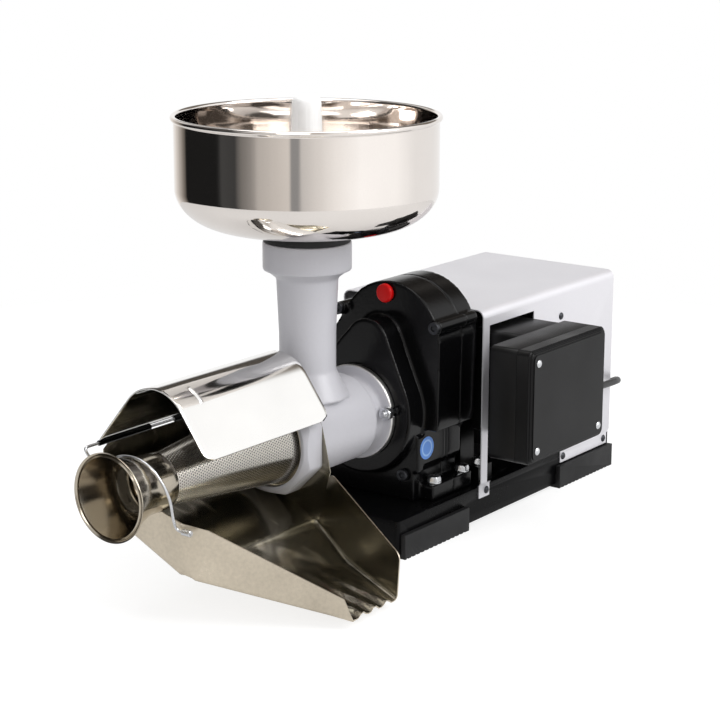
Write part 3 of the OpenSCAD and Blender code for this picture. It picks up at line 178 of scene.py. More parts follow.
def mottled_finish(name, base, roughness, grain, patch, depth, bump, metallic=0.0, specular=0.5):
    """A material of one colour with the mottle over it."""
    m, tree, shader = material(name, base, metallic, roughness)
    feed(tree, shader.inputs["Specular IOR Level"], specular)
    add_mottle(tree, shader, grain, patch, depth, bump)
    return m


rubber_sheath = mottled_finish("cord_rubber", (0.012, 0.012, 0.013), 0.42, 2500.0, 60.0, 0.3, (0.15, 0.0001))

cord_d = 0.008
cord_down = [(325, -112, 112), (350, -112, 112), (375, -111, 112), (400, -110, 111), (425, -108, 109),
             (446, -105, 107), (463, -99, 104), (475, -89, 100), (482, -76, 93), (486, -61, 82),
             (488, -46, 67), (489, -31, 50), (490, -16, 33), (493, -1, 18), (496, 14, 9), (500, 32, 5)]
cord_tail = [(500, 72, 12.4), (499, 84, 12), (497.5, 96, 12.5), (496, 108, 14), (494.5, 120, 16),
             (493, 132, 18), (491.5, 144, 19)]


def coil_points():
    """A spiral inwards on the table, a climb, and a spiral outwards on top, to where the tail leaves."""
    centre_x, centre_y, first_angle = 549, 52, 202.2
    steps, turns, turns_in, climb_start, climb_turns = 84, 4 + 44.4 / 360, 2.4, 2.0, 0.5
    outmost, inmost, per_turn_in, per_turn_out = 53, 33.3, 8.2, 11.4
    lower_z, layer = 4.2, 8.2
    points = []
    for i in range(1, steps):
        u = turns * i / steps
        r = outmost - per_turn_in * u if u < turns_in else inmost + per_turn_out * (u - turns_in)
        z = lower_z + layer * min(max((u - climb_start) / climb_turns, 0), 1)
        a = radians(first_angle - 360 * u)
        points.append((centre_x + r * cos(a), centre_y + r * sin(a), z))
    return points


def smooth_path(points, parts):
    """Points along a Catmull-Rom curve through the given ones."""
    out = []
    p = [Vector(q) for q in points]
    for i in range(len(p) - 1):
        a, b, c, d = p[max(i - 1, 0)], p[i], p[i + 1], p[min(i + 2, len(p) - 1)]
        for k in range(parts):
            t = k / parts
            out.append(0.5 * ((2 * b) + (c - a) * t + (2 * a - 5 * b + 4 * c - d) * t * t
                              + (3 * b - a - 3 * c + d) * t ** 3))
    out.append(p[-1])
    return out


def grid_faces(rows, columns, round_rows=False, round_columns=False):
    """Four-sided faces between the points of a grid, which may close on itself either way."""
    faces = []
    for i in range(rows if round_rows else rows - 1):
        row, following = i * columns, (i + 1) % rows * columns
        for k in range(columns if round_columns else columns - 1):
            n = (k + 1) % columns
            faces.append((row + k, row + n, following + n, following + k))
    return faces


def mesh_of(points, faces):
    mesh = bpy.data.meshes.new("shape")
    mesh.from_pydata([tuple(p) for p in points], [], faces)
    return mesh


def tube_mesh(path, radius, sides=16):
    """A round tube with closed ends along points in metres."""
    last = len(path) - 1
    tangents = [(path[min(i + 1, last)] - path[max(i - 1, 0)]).normalized() for i in range(len(path))]
    across = tangents[0].orthogonal().normalized()
    points = []
    for place, tangent in zip(path, tangents):
        across = (across - tangent * across.dot(tangent)).normalized()
        other = tangent.cross(across)
        for k in range(sides):
            a = 2 * pi * k / sides
            points.append(place + radius * (cos(a) * across + sin(a) * other))
    faces = grid_faces(len(path), sides, round_columns=True)
    faces.append(tuple(range(sides - 1, -1, -1)))
    faces.append(tuple(last * sides + k for k in range(sides)))
    return mesh_of(points, faces)


def piece(name, mesh, body, finish, smooth, stands_for):
    """Links a mesh, gives it its finish (or one for each side) and lets it ride on its body."""
    mesh.name = name
    obj = placed(name, mesh)
    finishes = finish if isinstance(finish, tuple) else (finish,)
    sides = [face.material_index for face in mesh.polygons]
    mesh.materials.clear()
    for one in finishes:
        mesh.materials.append(one)
    for face, side_of in zip(mesh.polygons, sides):
        face.material_index = side_of if len(finishes) > 1 else 0
    mesh.shade_smooth()
    mesh.set_sharp_from_angle(angle=radians(smooth))
    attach(obj, body)
    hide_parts(*stands_for)
    return obj


cord_path = smooth_path([at(*p) for p in cord_down + coil_points() + cord_tail], 4)
flex = piece("mains_flex", tube_mesh(cord_path, cord_d / 2, 14), "frame", rubber_sheath, 50,
             ("power_cord", "cord_coil", "cord_tail"))


# PLUG
# Black plastic plug, moulded in one with the end of the flex. It lies on the table
# behind the machine.
def finished_copy(name, round_edges=0.0):
    """A CAD node's mesh with its points merged, flat faces joined, and sharp edges rounded by a radius."""
    same_place, flat_angle, sharp_angle = 0.00002, radians(0.4), radians(32)
    mesh = frame["nodes"][name].data.copy()
    bm = bmesh.new()
    bm.from_mesh(mesh)
    bmesh.ops.remove_doubles(bm, verts=bm.verts, dist=same_place)
    bmesh.ops.dissolve_limit(bm, angle_limit=flat_angle, verts=bm.verts, edges=bm.edges)
    if round_edges:
        sharp = [e for e in bm.edges if len(e.link_faces) == 2 and e.calc_face_angle(0) > sharp_angle]
        bmesh.ops.bevel(bm, geom=sharp, offset=round_edges, offset_type="OFFSET", segments=2, profile=0.5,
                        affect="EDGES", clamp_overlap=True)
    bm.to_mesh(mesh)
    bm.free()
    return mesh


def finished(name, finish, round_edges=0.0, smooth=32):
    """Stands for a CAD node with a copy that has rounded edges and smooth shading."""
    copy = finished_copy(name, round_edges)
    piece(name + "_piece", copy, body_of_node[name], finish, smooth, (name,))


def moulded_black(name, roughness, base=0.006):
    return mottled_finish(name, (base, base, base * 1.05), roughness, 1600.0, 30.0, 0.35, (0.25, 0.00012),
                          specular=0.3)


plug_body = moulded_black("plug_moulding", 0.45)
frame["nodes"]["plug"].data.materials.clear()
frame["nodes"]["plug"].data.materials.append(plug_body)


# CORD GLAND
# Black plastic gland nut, screwed to the box, with a tapered sleeve that keeps the
# flex from kinking.
gland_black = moulded_black("gland_black", 0.4)
finished("cord_gland", gland_black, 0.0004)


# HOPPER
# Spun from one disc of stainless sheet and polished: upright wall, round shoulder,
# shallow cone to the spigot, and the rim rolled outwards over a wire.
def lathe(profile, centre, axis, parts):
    """Turns a closed profile of (radius, distance along the axis) in millimetres about an axis at centre."""
    same_place = 1e-7
    points = []
    for k in range(parts):
        a = 2 * pi * k / parts
        for r, h in profile:
            u, v = centre[0] + r * cos(a), centre[1] + r * sin(a)
            points.append(at(*{"x": (h, u, v), "y": (u, h, v), "z": (u, v, h)}[axis]))
    mesh = mesh_of(points, grid_faces(parts, len(profile), round_rows=True, round_columns=True))
    bm = bmesh.new()
    bm.from_mesh(mesh)
    bmesh.ops.remove_doubles(bm, verts=bm.verts, dist=same_place)
    bmesh.ops.recalc_face_normals(bm, faces=bm.faces)
    bm.to_mesh(mesh)
    bm.free()
    return mesh


def arc(cx, cy, rx, ry, start, end, parts):
    """Points on an ellipse's arc, angles in degrees from the first axis."""
    angles = [radians(start + (end - start) * i / parts) for i in range(parts + 1)]
    return [(cx + rx * cos(a), cy + ry * sin(a)) for a in angles]


def stretched_noise(tree, stretch, **values):
    """Soft noise over the piece, longest along the axis where stretch is smallest."""
    where = node(tree, "ShaderNodeTexCoord").outputs["Object"]
    place = node(tree, "ShaderNodeMapping", {"Vector": where, "Scale": stretch}).outputs[0]
    return node(tree, "ShaderNodeTexNoise", {"Vector": place, **values}).outputs["Fac"]


def polished_sheet(name, base, roughness, ripple, drawn=(1, 1, 1)):
    """Mirror-bright stainless with fine polishing marks and faint ripples, longer the way it was drawn."""
    m, tree, shader = material(name, base, 1.0, roughness)
    add_mottle(tree, shader, 700.0, 14.0, 0.12, rough_share=0.35)
    add_bump(tree, shader, stretched_noise(tree, drawn, Scale=22.0, Detail=1.0), ripple, 0.002)
    return m


hopper_steel = polished_sheet("hopper_steel", (0.84, 0.79, 0.75), 0.06, 0.05, (4, 4, 0.15))

hopper_r, spigot_r, spigot_foot, hopper_sheet = 132, 38, 309.2, 1.2
shoulder_r, shoulder_z, shoulder_width, shoulder_height = 74, 384.3, 58, 41
outer = [(spigot_r, spigot_foot), (spigot_r, 337)] + arc(spigot_r + 2, 337.5, 2, 1.8, 180, 90, 4)
outer += [(44, 339.8), (60, 341.6)] + arc(shoulder_r, shoulder_z, shoulder_width, shoulder_height, -88, 0, 28)
outer += [(hopper_r, z) for z in (400, 420, 440, 449.6, 450.8)]
rim = arc(hopper_r + 0.1, 453.9, 2.85, 2.85, -88, 200, 22)
inner = [(hopper_r - hopper_sheet, z) for z in (449, 430, 400)]
inner += arc(shoulder_r, shoulder_z, shoulder_width - hopper_sheet, shoulder_height - hopper_sheet,
             0, -88, 28)
inner += [(60, 341.6 + hopper_sheet), (44, 339.8 + hopper_sheet), (38.6, 339.6)]
inner += [(spigot_r - hopper_sheet, 337.5), (spigot_r - hopper_sheet, spigot_foot)]
piece("hopper_piece", lathe(outer + rim + inner, (0, 0), "z", 192), "hopper_body", hopper_steel,
      40, ("hopper",))


# HOPPER SEAL AND SHAFT SEAL
# Black rubber: a ring between the casting's collar and the hopper, and a lip seal
# pressed into the gearbox round the output shaft.
seal_rubber = moulded_black("seal_rubber", 0.6, 0.014)
finished("hopper_seal", seal_rubber, 0.0006)
finished("shaft_seal", seal_rubber)


# PUSHER
# Turned from a rod of white food-grade plastic. It stands in the throat and is drawn
# up by hand.
food_white = mottled_finish("white_plastic", (0.93, 0.93, 0.925), 0.35, 600.0, 20.0, 0.06, (0.05, 0.0001))
white_shader = food_white.node_tree.nodes["Principled BSDF"]
white_shader.inputs["Subsurface Weight"].default_value = 0.05
white_shader.inputs["Subsurface Radius"].default_value = (0.004, 0.004, 0.004)
finished("pusher", food_white, 0.0, 30)


# FEED SCREW
# Moulded food-grade plastic on the output shaft, coloured dark grey as painted shade
# for the inside of the cone: a coarse stage in the barrel and a finer, tapered one
# in the cone.
screw_painted_shade = mottled_finish("screw_plastic", (0.16, 0.155, 0.14), 0.45, 600.0, 20.0, 0.2, (0.1, 0.0001))
finished("feed_screw", screw_painted_shade, 0.0, 40)


# PRESS BODY
# One iron casting, enamelled light grey: barrel, neck, collar, and the flange whose
# rim is left machined bright. The casting's corners are soft and filleted.
axis_z = 134.3


def baked(obj):
    """The plain mesh that an object's modifiers make; the object itself goes."""
    bpy.context.view_layer.update()
    out = bpy.data.meshes.new_from_object(obj.evaluated_get(bpy.context.evaluated_depsgraph_get()))
    bpy.data.objects.remove(obj)
    return out


def soft_casting(name, smoothing):
    """A CAD node's shape as a casting: one skin with small fillets where faces meet."""
    obj = placed(name + "_casting", finished_copy(name))
    skin = obj.modifiers.new("skin", "REMESH")
    skin.mode = "VOXEL"
    skin.voxel_size = 0.0014
    fillets = obj.modifiers.new("fillets", "SMOOTH")
    fillets.factor = 0.5
    fillets.iterations = smoothing
    return baked(obj)


def hypotenuse(tree, a, b):
    """The length of a slanting line from its two square parts."""
    return calc(tree, "SQRT", calc(tree, "ADD", calc(tree, "MULTIPLY", a, a), calc(tree, "MULTIPLY", b, b)))


def machined_rim(tree):
    """1 on the flange's rim: beyond a radius about the barrel's axis, and between two planes across it."""
    where = node(tree, "ShaderNodeTexCoord").outputs["Object"]
    place = node(tree, "ShaderNodeSeparateXYZ", {0: where}).outputs
    barrel, front_x, rear_x = at(0, 0, axis_z), at(75.4, 0, 0).x, at(85, 0, 0).x
    paint_end, bright_start, soft = 0.0496, 0.0502, 0.0004
    away_y = calc(tree, "SUBTRACT", place["Y"], barrel.y)
    away_z = calc(tree, "SUBTRACT", place["Z"], barrel.z)
    beyond = spread(tree, hypotenuse(tree, away_y, away_z), paint_end, bright_start)
    behind_front = spread(tree, place["X"], front_x - soft, front_x + soft)
    before_rear = spread(tree, place["X"], rear_x + soft, rear_x - soft)
    return calc(tree, "MULTIPLY", beyond, calc(tree, "MULTIPLY", behind_front, before_rear))


def grey_enamel():
    m, tree, shader = material("grey_enamel", (0.54, 0.535, 0.57), roughness=0.34)
    add_mottle(tree, shader, 260.0, 16.0, 0.10, (0.3, 0.0004))
    bright = machined_rim(tree)
    base = shader.inputs["Base Color"]
    feed(tree, base, mixed(tree, bright, base.links[0].from_socket, (0.72, 0.71, 0.69)))
    feed(tree, shader.inputs["Metallic"], bright)
    return m


casting_grey = grey_enamel()
piece("press_body_piece", soft_casting("press_body", 8), "frame", casting_grey, 60,
      ("press_body",))
finished("ring_nut", casting_grey, 0.0009, 28)


# STUDS AND NUTS OF THE FLANGE
# Three zinc-plated M8 studs, screwed into the gearbox, and their nuts in front of
# the flange.
bright_zinc = mottled_finish("zinc_plate", (0.66, 0.67, 0.69), 0.26, 1500.0, 120.0, 0.35, (0.12, 0.0001),
                             metallic=1.0)
finished("head_studs", bright_zinc, 0.0006)
finished("head_nuts", bright_zinc, 0.0003)


# STRAINER CONE
# Rolled from perforated stainless and welded along its far side, with plain bands at
# both ends and a rolled ring at the wide end that the nut clamps.
cone_start, cone_length, wide_r, narrow_r = -60, 176, 42, 23
wide_end = at(cone_start, 0, axis_z)


def cone_radius(x):
    """The cone's inner radius at a place along its axis."""
    return wide_r + (x - cone_start) * (wide_r - narrow_r) / cone_length


def hole_cell():
    """One six-sided cell of the sheet, 1 across and 1 thick, with a hole through it."""
    corner_r, hole_r = 1 / sqrt(3), 0.345
    points = []
    for height in (1.0, 0.0):
        for radius in (corner_r, hole_r):
            points += [(radius * cos(pi * k / 3), radius * sin(pi * k / 3), height) for k in range(6)]
    faces = []
    for k in range(6):
        n = (k + 1) % 6
        faces.append((k, k + 6, n + 6, n))
        faces.append((k + 12, n + 12, n + 18, k + 18))
        faces.append((k + 6, k + 18, n + 18, n + 6))
    return mesh_of(points, faces)


def perforated_cone_tree():
    """Sets the cell out in staggered rows on the cone's flat sheet, then rolls the sheet up about X."""
    inputs = {"Cell": "Geometry", "Finish": "Material"}
    inputs |= dict.fromkeys(("Pitch", "Wall", "Wide radius", "Narrow radius", "Length", "Border"), "Float")
    inputs |= dict.fromkeys(("Wide end", "Axis Y", "Axis Z"), "Float")
    tree, given, result = new_group("perforated_cone", "GeometryNodeTree", inputs, {"Sheet": "Geometry"})
    over_half_slant, over_half_girth, row_slide, seam_half, same_place = 0.56, 3.3, 0.944, 0.0018, 0.00005

    def work(operation, *values):
        return calc(tree, operation, *values)

    # The flat sheet is a fan, with its point at the origin and its edges at two radii
    fall = work("SUBTRACT", given["Wide radius"], given["Narrow radius"])
    slant = hypotenuse(tree, fall, given["Length"])
    sine, cosine = work("DIVIDE", fall, slant), work("DIVIDE", given["Length"], slant)
    far = work("DIVIDE", given["Wide radius"], sine)
    near = work("DIVIDE", given["Narrow radius"], sine)

    # A grid of points covers the fan, and every second row is moved by half a pitch
    row = work("MULTIPLY", given["Pitch"], sqrt(3) / 2)
    rows = work("ROUND", work("MULTIPLY", work("DIVIDE", slant, row), over_half_slant))
    half_girth = work("MULTIPLY", given["Wide radius"], over_half_girth)
    columns = work("ROUND", work("DIVIDE", half_girth, given["Pitch"]))
    grid = node(tree, "GeometryNodeMeshGrid", {
        "Size X": work("MULTIPLY", work("MULTIPLY", rows, 2.0), row),
        "Size Y": work("MULTIPLY", work("MULTIPLY", columns, 2.0), given["Pitch"]),
        "Vertices X": work("MULTIPLY_ADD", rows, 2.0, 1.0),
        "Vertices Y": work("MULTIPLY_ADD", columns, 2.0, 1.0)})
    place = node(tree, "GeometryNodeInputPosition").outputs[0]
    flat = node(tree, "ShaderNodeSeparateXYZ", {0: place}).outputs
    odd = work("PINGPONG", work("ROUND", work("DIVIDE", flat["X"], row)), 1.0)
    shift = node(tree, "ShaderNodeCombineXYZ", {
        "X": work("MULTIPLY", work("MULTIPLY_ADD", near, row_slide, far), 0.5),
        "Y": work("MULTIPLY", work("MULTIPLY", odd, 0.5), given["Pitch"])}).outputs[0]
    staggered = node(tree, "GeometryNodeSetPosition", {"Geometry": grid.outputs["Mesh"], "Offset": shift})

    # Points beyond the fan, on its borders and beside the seam go
    away = hypotenuse(tree, flat["X"], flat["Y"])
    turned = work("ARCTAN2", flat["Y"], flat["X"])
    to_seam = work("MULTIPLY", work("SUBTRACT", work("MULTIPLY", sine, pi), work("ABSOLUTE", turned)), away)
    inner_edge = work("ADD", near, work("MULTIPLY", given["Border"], 2.0))
    outer_edge = work("SUBTRACT", far, given["Border"])
    outside = work("LESS_THAN", to_seam, seam_half)
    outside = work("MAXIMUM", outside, work("LESS_THAN", away, inner_edge))
    outside = work("MAXIMUM", outside, work("GREATER_THAN", away, outer_edge))
    kept = node(tree, "GeometryNodeDeleteGeometry", {"Geometry": staggered.outputs[0], "Selection": outside},
                domain="POINT")

    # A cell stands on each point that is left, and the whole sheet is rolled up
    size = node(tree, "ShaderNodeCombineXYZ", {"X": given["Pitch"], "Y": given["Pitch"], "Z": given["Wall"]})
    cells = node(tree, "GeometryNodeInstanceOnPoints", {
        "Points": kept.outputs[0], "Instance": given["Cell"], "Scale": size.outputs[0]})
    real = node(tree, "GeometryNodeRealizeInstances", {0: cells.outputs[0]})
    angle = work("ADD", work("DIVIDE", turned, sine), pi)
    radius = work("ADD", work("MULTIPLY", away, sine), flat["Z"])
    rolled = node(tree, "ShaderNodeCombineXYZ", {
        "X": work("SUBTRACT", given["Wide end"], work("MULTIPLY", work("SUBTRACT", far, away), cosine)),
        "Y": work("MULTIPLY_ADD", radius, work("COSINE", angle), given["Axis Y"]),
        "Z": work("MULTIPLY_ADD", radius, work("SINE", angle), given["Axis Z"])})
    round_up = node(tree, "GeometryNodeSetPosition", {
        "Geometry": real.outputs[0], "Position": rolled.outputs[0]})
    welded = node(tree, "GeometryNodeMergeByDistance", {
        "Geometry": round_up.outputs[0], "Distance": same_place})
    painted = node(tree, "GeometryNodeSetMaterial", {
        "Geometry": welded.outputs[0], "Material": given["Finish"]})
    feed(tree, result["Sheet"], painted.outputs[0])
    return tree


def from_tree(mesh, tree, values):
    """The plain mesh that a Geometry Nodes tree makes of a mesh, with the tree's inputs set by name."""
    obj = placed("sheet", mesh)
    rule = obj.modifiers.new("rule", "NODES")
    rule.node_group = tree
    for item in tree.interface.items_tree:
        if item.in_out == "INPUT" and item.name in values:
            rule[item.identifier] = values[item.name]
    return baked(obj)


cone_steel = polished_sheet("cone_steel", (0.66, 0.63, 0.58), 0.20, 0.03)
cone_sheet = from_tree(hole_cell(), perforated_cone_tree(), {
    "Pitch": 0.0028, "Wall": 0.001, "Wide radius": wide_r / 1000, "Narrow radius": narrow_r / 1000,
    "Length": cone_length / 1000, "Border": 0.004, "Wide end": wide_end.x, "Axis Y": wide_end.y,
    "Axis Z": wide_end.z, "Finish": cone_steel})
piece("strainer_sheet", cone_sheet, "frame", cone_steel, 40, ("strainer_cone",))
ring_steel = polished_sheet("ring_steel", (0.72, 0.68, 0.60), 0.16, 0.03)
band_inset, band_wall = 0.05, 1.1
for band, (start, end) in {"wide": (cone_start, -65.5), "narrow": (-226, cone_start - cone_length)}.items():
    inner = [(cone_radius(x) - band_inset, x) for x in (start, end)]
    profile = inner + [(r + band_wall, x) for r, x in reversed(inner)]
    piece(f"strainer_{band}_band", lathe(profile, (0, axis_z), "x", 128), "frame", cone_steel,
          40, ("strainer_cone",))


def thickened(mesh, thickness, edge=0.0):
    """The same sheet with a wall, and its rim rounded a little."""
    obj = placed("sheet", mesh)
    wall = obj.modifiers.new("wall", "SOLIDIFY")
    wall.thickness = thickness
    wall.offset = 0
    wall.use_even_offset = True
    wall.material_offset = 1
    if edge:
        soft = obj.modifiers.new("edge", "BEVEL")
        soft.width = edge
        soft.segments = 2
        soft.limit_method = "ANGLE"
        soft.angle_limit = radians(60)
    return baked(obj)


def seam_mesh():
    """The welded lap along the cone's far side, from band to band."""
    start, length, half_width, lift = -63, 166, 3.4, 0.5
    cuts, across = 24, 6
    points = []
    for i in range(cuts + 1):
        x = start - length * i / cuts
        r = cone_radius(x) + lift
        for k in range(across + 1):
            a = half_width * (2 * k / across - 1) / r
            points.append(at(x, r * cos(a), axis_z + r * sin(a)))
    return mesh_of(points, grid_faces(cuts + 1, across + 1))


piece("strainer_seam", thickened(seam_mesh(), 0.0011), "frame", cone_steel, 40,
      ("strainer_cone",))
ring_profile = arc(44.5, -62.5, 2.5, 2.5, 0, 342, 19)
piece("strainer_ring", lathe(ring_profile, (0, axis_z), "x", 144), "frame", ring_steel,
      60, ("strainer_cone",))


# WASTE FUNNEL
# Spun from stainless sheet: a neck pushed over the cone's end, flaring to a rolled
# rim.
neck_r, neck_start, neck_end, flare_length, funnel_sheet = 28, -228, -254, 37.6, 1


def flare_radius(x):
    """The funnel's outer radius beyond its neck."""
    return neck_r + 12.8 * max((neck_end - x) / 40, 0) ** 1.25


funnel_xs = [neck_end - 2 - flare_length * i / 16 for i in range(17)]
funnel_out = [(neck_r - 1.6, neck_start), (neck_r - 0.6, neck_start), (neck_r, neck_start - 1)]
funnel_out += [(neck_r, x) for x in (-240, -250, neck_end)] + [(flare_radius(x), x) for x in funnel_xs]
funnel_rim = arc(40.8, -294, 2.2, 2.2, -20, 200, 14)
funnel_in = [(flare_radius(x) - funnel_sheet, x) for x in reversed(funnel_xs)]
funnel_in += [(neck_r - funnel_sheet, x) for x in (neck_end, -240, -231)] + [(neck_r - 2.1, neck_start - 1)]
funnel_steel = polished_sheet("funnel_steel", (0.50, 0.45, 0.37), 0.15, 0.05)
piece("funnel_piece", lathe(funnel_out + funnel_rim + funnel_in, (0, axis_z), "x", 144), "frame",
      funnel_steel, 45, ("waste_funnel",))


# SPLASH GUARD
# Polished stainless bent to a tent with rounded lower corners, a lanced tab on its
# shoulder, hemmed along the far edge round the hinge wire.
hinge_y, hinge_z = 65.5, 161.8


def rounded_inset(corner, distance):
    """How far a rounded corner draws an edge in, at a distance from the corner's end."""
    return corner - sqrt(max(corner ** 2 - (corner - distance) ** 2, 0)) if distance < corner else 0.0


def guard_section():
    """Points (y, z) of the sheet's middle from the near lower edge over the crown to the far one."""
    r, top, slope, low = 42.4, 223.9, radians(54), 164.9
    leg_parts, crown_parts = 14, 36
    y1, z1 = r * sin(slope), top - r + r * cos(slope)
    y0 = y1 + (z1 - low) / tan(slope)
    leg = [(-y0 + (y0 - y1) * i / leg_parts, low + (z1 - low) * i / leg_parts) for i in range(leg_parts)]
    angles = [-slope + 2 * slope * i / crown_parts for i in range(crown_parts + 1)]
    return leg + [(r * sin(a), top - r + r * cos(a)) for a in angles] + [(-y, z) for y, z in reversed(leg)]


def guard_mesh():
    """The tent, whose lower corners are rounded on the near side and lean forward on the far side."""
    front_x, length, corner, cuts = -231, 185, 11.0, 40
    lean, lean_top, lean_height = 7.0, 206.7, 42
    section = guard_section()
    along = [0.0]
    for (y0, z0), (y1, z1) in zip(section, section[1:]):
        along.append(along[-1] + sqrt((y1 - y0) ** 2 + (z1 - z0) ** 2))
    points = []
    for (y, z), distance in zip(section, along):
        inset = rounded_inset(corner, distance)
        reach = lean * min(max((lean_top - z) / lean_height, 0), 1) if y > 0 else 0.0
        for i in range(cuts + 1):
            points.append(at(front_x + inset - reach + (length - 2 * inset + reach) * i / cuts, y, z))
    return mesh_of(points, grid_faces(len(section), cuts + 1))


def painted_shade_sheet(name, dark, light, stretch):
    """Metal sheet coloured dark as painted shade, with paler bands of painted reflection that follow the
    folds.
    """
    roughness, pale_start, pale_full = 0.19, 0.56, 0.72
    m, tree, shader = material(name, dark, 1.0, roughness)
    painted_reflection_bands = stretched_noise(tree, stretch, Scale=1.0, Detail=2.0, Distortion=1.2)
    share = spread(tree, painted_reflection_bands, pale_start, pale_full, kind="SMOOTHSTEP")
    feed(tree, shader.inputs["Base Color"], mixed(tree, share, dark, light))
    add_bump(tree, shader, painted_reflection_bands, 0.12, 0.001)
    return m


guard_steel = polished_sheet("guard_steel", (0.90, 0.89, 0.87), 0.10, 0.06, (0.6, 2.0, 2.0))
# The hems round the hinge wire are coloured nearly black as painted shade, with paler bands of painted
# reflection.
guard_hem_painted_shade = painted_shade_sheet("guard_hem_painted_shade", (0.008, 0.008, 0.0075), (0.03, 0.028, 0.025), (8, 30, 30))
guard_body = body_of_node["splash_guard"]
piece("guard_piece", thickened(guard_mesh(), 0.0012, 0.0003), guard_body, guard_steel,
      40, ("splash_guard",))

hem_hole, hem_r, hem_edge = 1.55, 2.75, 2.4
for number, (start, end) in enumerate(((-238, -166), (-131, cone_start))):
    profile = [(hem_hole, start), (hem_edge, start), (hem_r, start + 0.4)]
    profile += [(hem_r, end - 0.4), (hem_edge, end), (hem_hole, end)]
    piece(f"guard_hem_{number + 1}", lathe(profile, (hinge_y, hinge_z), "x", 32), guard_body, guard_hem_painted_shade,
          40, ("splash_guard",))


def lanced_tab_mesh():
    """A narrow tongue pressed up out of the near shoulder."""
    front_x, width, shoulder, crown_z, rise = -202.5, 5.0, 43.05, 181.5, 1.3
    cuts, across = 18, 6
    points = []
    for i in range(cuts + 1):
        t = i / cuts
        a = radians(-50 + 30 * t)
        lift = rise * sin(pi * t) ** 0.6
        for k in range(across + 1):
            r = shoulder + lift * (0.55 + 0.45 * cos(2 * pi * (k / across - 0.5)))
            points.append(at(front_x + width * k / across, r * sin(a), crown_z + r * cos(a)))
    return mesh_of(points, grid_faces(cuts + 1, across + 1))


piece("guard_tab", thickened(lanced_tab_mesh(), 0.0005), guard_body, guard_steel, 40,
      ("splash_guard",))
rest_x = -46.3
rest_points = [(-30, 211.0), (-34, 206.6), (-38, 201.2), (-38, 181.9), (-30, 181.9)]
rest_mesh = mesh_of([at(rest_x, y, z) for y, z in rest_points], [tuple(range(len(rest_points)))])
piece("guard_rest", thickened(rest_mesh, 0.0011), guard_body, guard_steel, 30,
      ("splash_guard",))


# WIRES
# Bright 3 mm steel wire: one bent along the guard's hinge and standing on the tray,
# one that swings over the funnel's neck and holds the tray up.
lug_x, lug_z = -240.5, 95.8


def rounded_path(points, bend, parts=6):
    """The same route with each corner replaced by a bend."""
    p = [Vector(q) for q in points]
    out = [p[0]]
    for i in range(1, len(p) - 1):
        u, v = p[i - 1] - p[i], p[i + 1] - p[i]
        d = min(bend, 0.45 * u.length, 0.45 * v.length)
        a, c = p[i] + u.normalized() * d, p[i] + v.normalized() * d
        for k in range(parts + 1):
            t = k / parts
            out.append((1 - t) ** 2 * a + 2 * t * (1 - t) * p[i] + t * t * c)
    return out + [p[-1]]


hinge_route = [(-238, 56, 99.3), (-252, 62.5, 149.8), (-258, hinge_y, hinge_z), (-52, hinge_y, hinge_z),
               (-51, 62.5, 149.8), (-45.6, 60, 100.3)]
hinge_path = [at(*p) for p in rounded_path(hinge_route, 6)]
piece("guard_wire_piece", tube_mesh(hinge_path, 0.0015), "frame", bright_zinc, 50,
      ("guard_wire",))
bail_half = [(lug_x, -53, lug_z), (lug_x, -34.2, lug_z), (-246.5, -36, 107.8), (-251.5, -38, 125.8),
             (-257, -36, 141.8), (-261, -26, 157.8), (-262.4, -14, 164.5)]
bail_route = bail_half + [(-262.6, 0, 166.4)] + [(x, -y, z) for x, y, z in reversed(bail_half)]
bail_path = [at(*p) for p in rounded_path(bail_route, 7)]
piece("tray_bail_piece", tube_mesh(bail_path, 0.00148), body_of_node["tray_bail"], bright_zinc,
      50, ("tray_bail",))


# DRIP TRAY
# Stainless sheet folded to a chute under the cone: a rear plate clamped behind the
# ring nut, a ribbed floor that falls to a spout beside the machine, a front wall that
# the funnel's neck rests in, and a far side that stands up to the guard's hinge.
rear_x, front_x = -42.6, -237.0


def press_ribs(bm):
    """Raises three ribs in the floor, each growing higher towards the spout."""
    rib_half_width, rib_height, floor_top = 0.0075, 0.0042, 0.045
    for rib_x in (-92, -112, -132):
        foot = at(rib_x, -166, 8)
        head = at(rib_x * 0.9 - 14, -80, 30)
        line = Vector((foot.x - head.x, foot.y - head.y, 0))
        for v in bm.verts:
            rel = Vector((v.co.x - head.x, v.co.y - head.y, 0))
            t = rel.dot(line) / line.length_squared
            if 0 < t < 1.05 and v.co.z < floor_top:
                off = (rel - line * t).length
                v.co.z += rib_height * min(t, 1) ** 1.5 * max(0.0, 1 - (off / rib_half_width) ** 2) ** 2


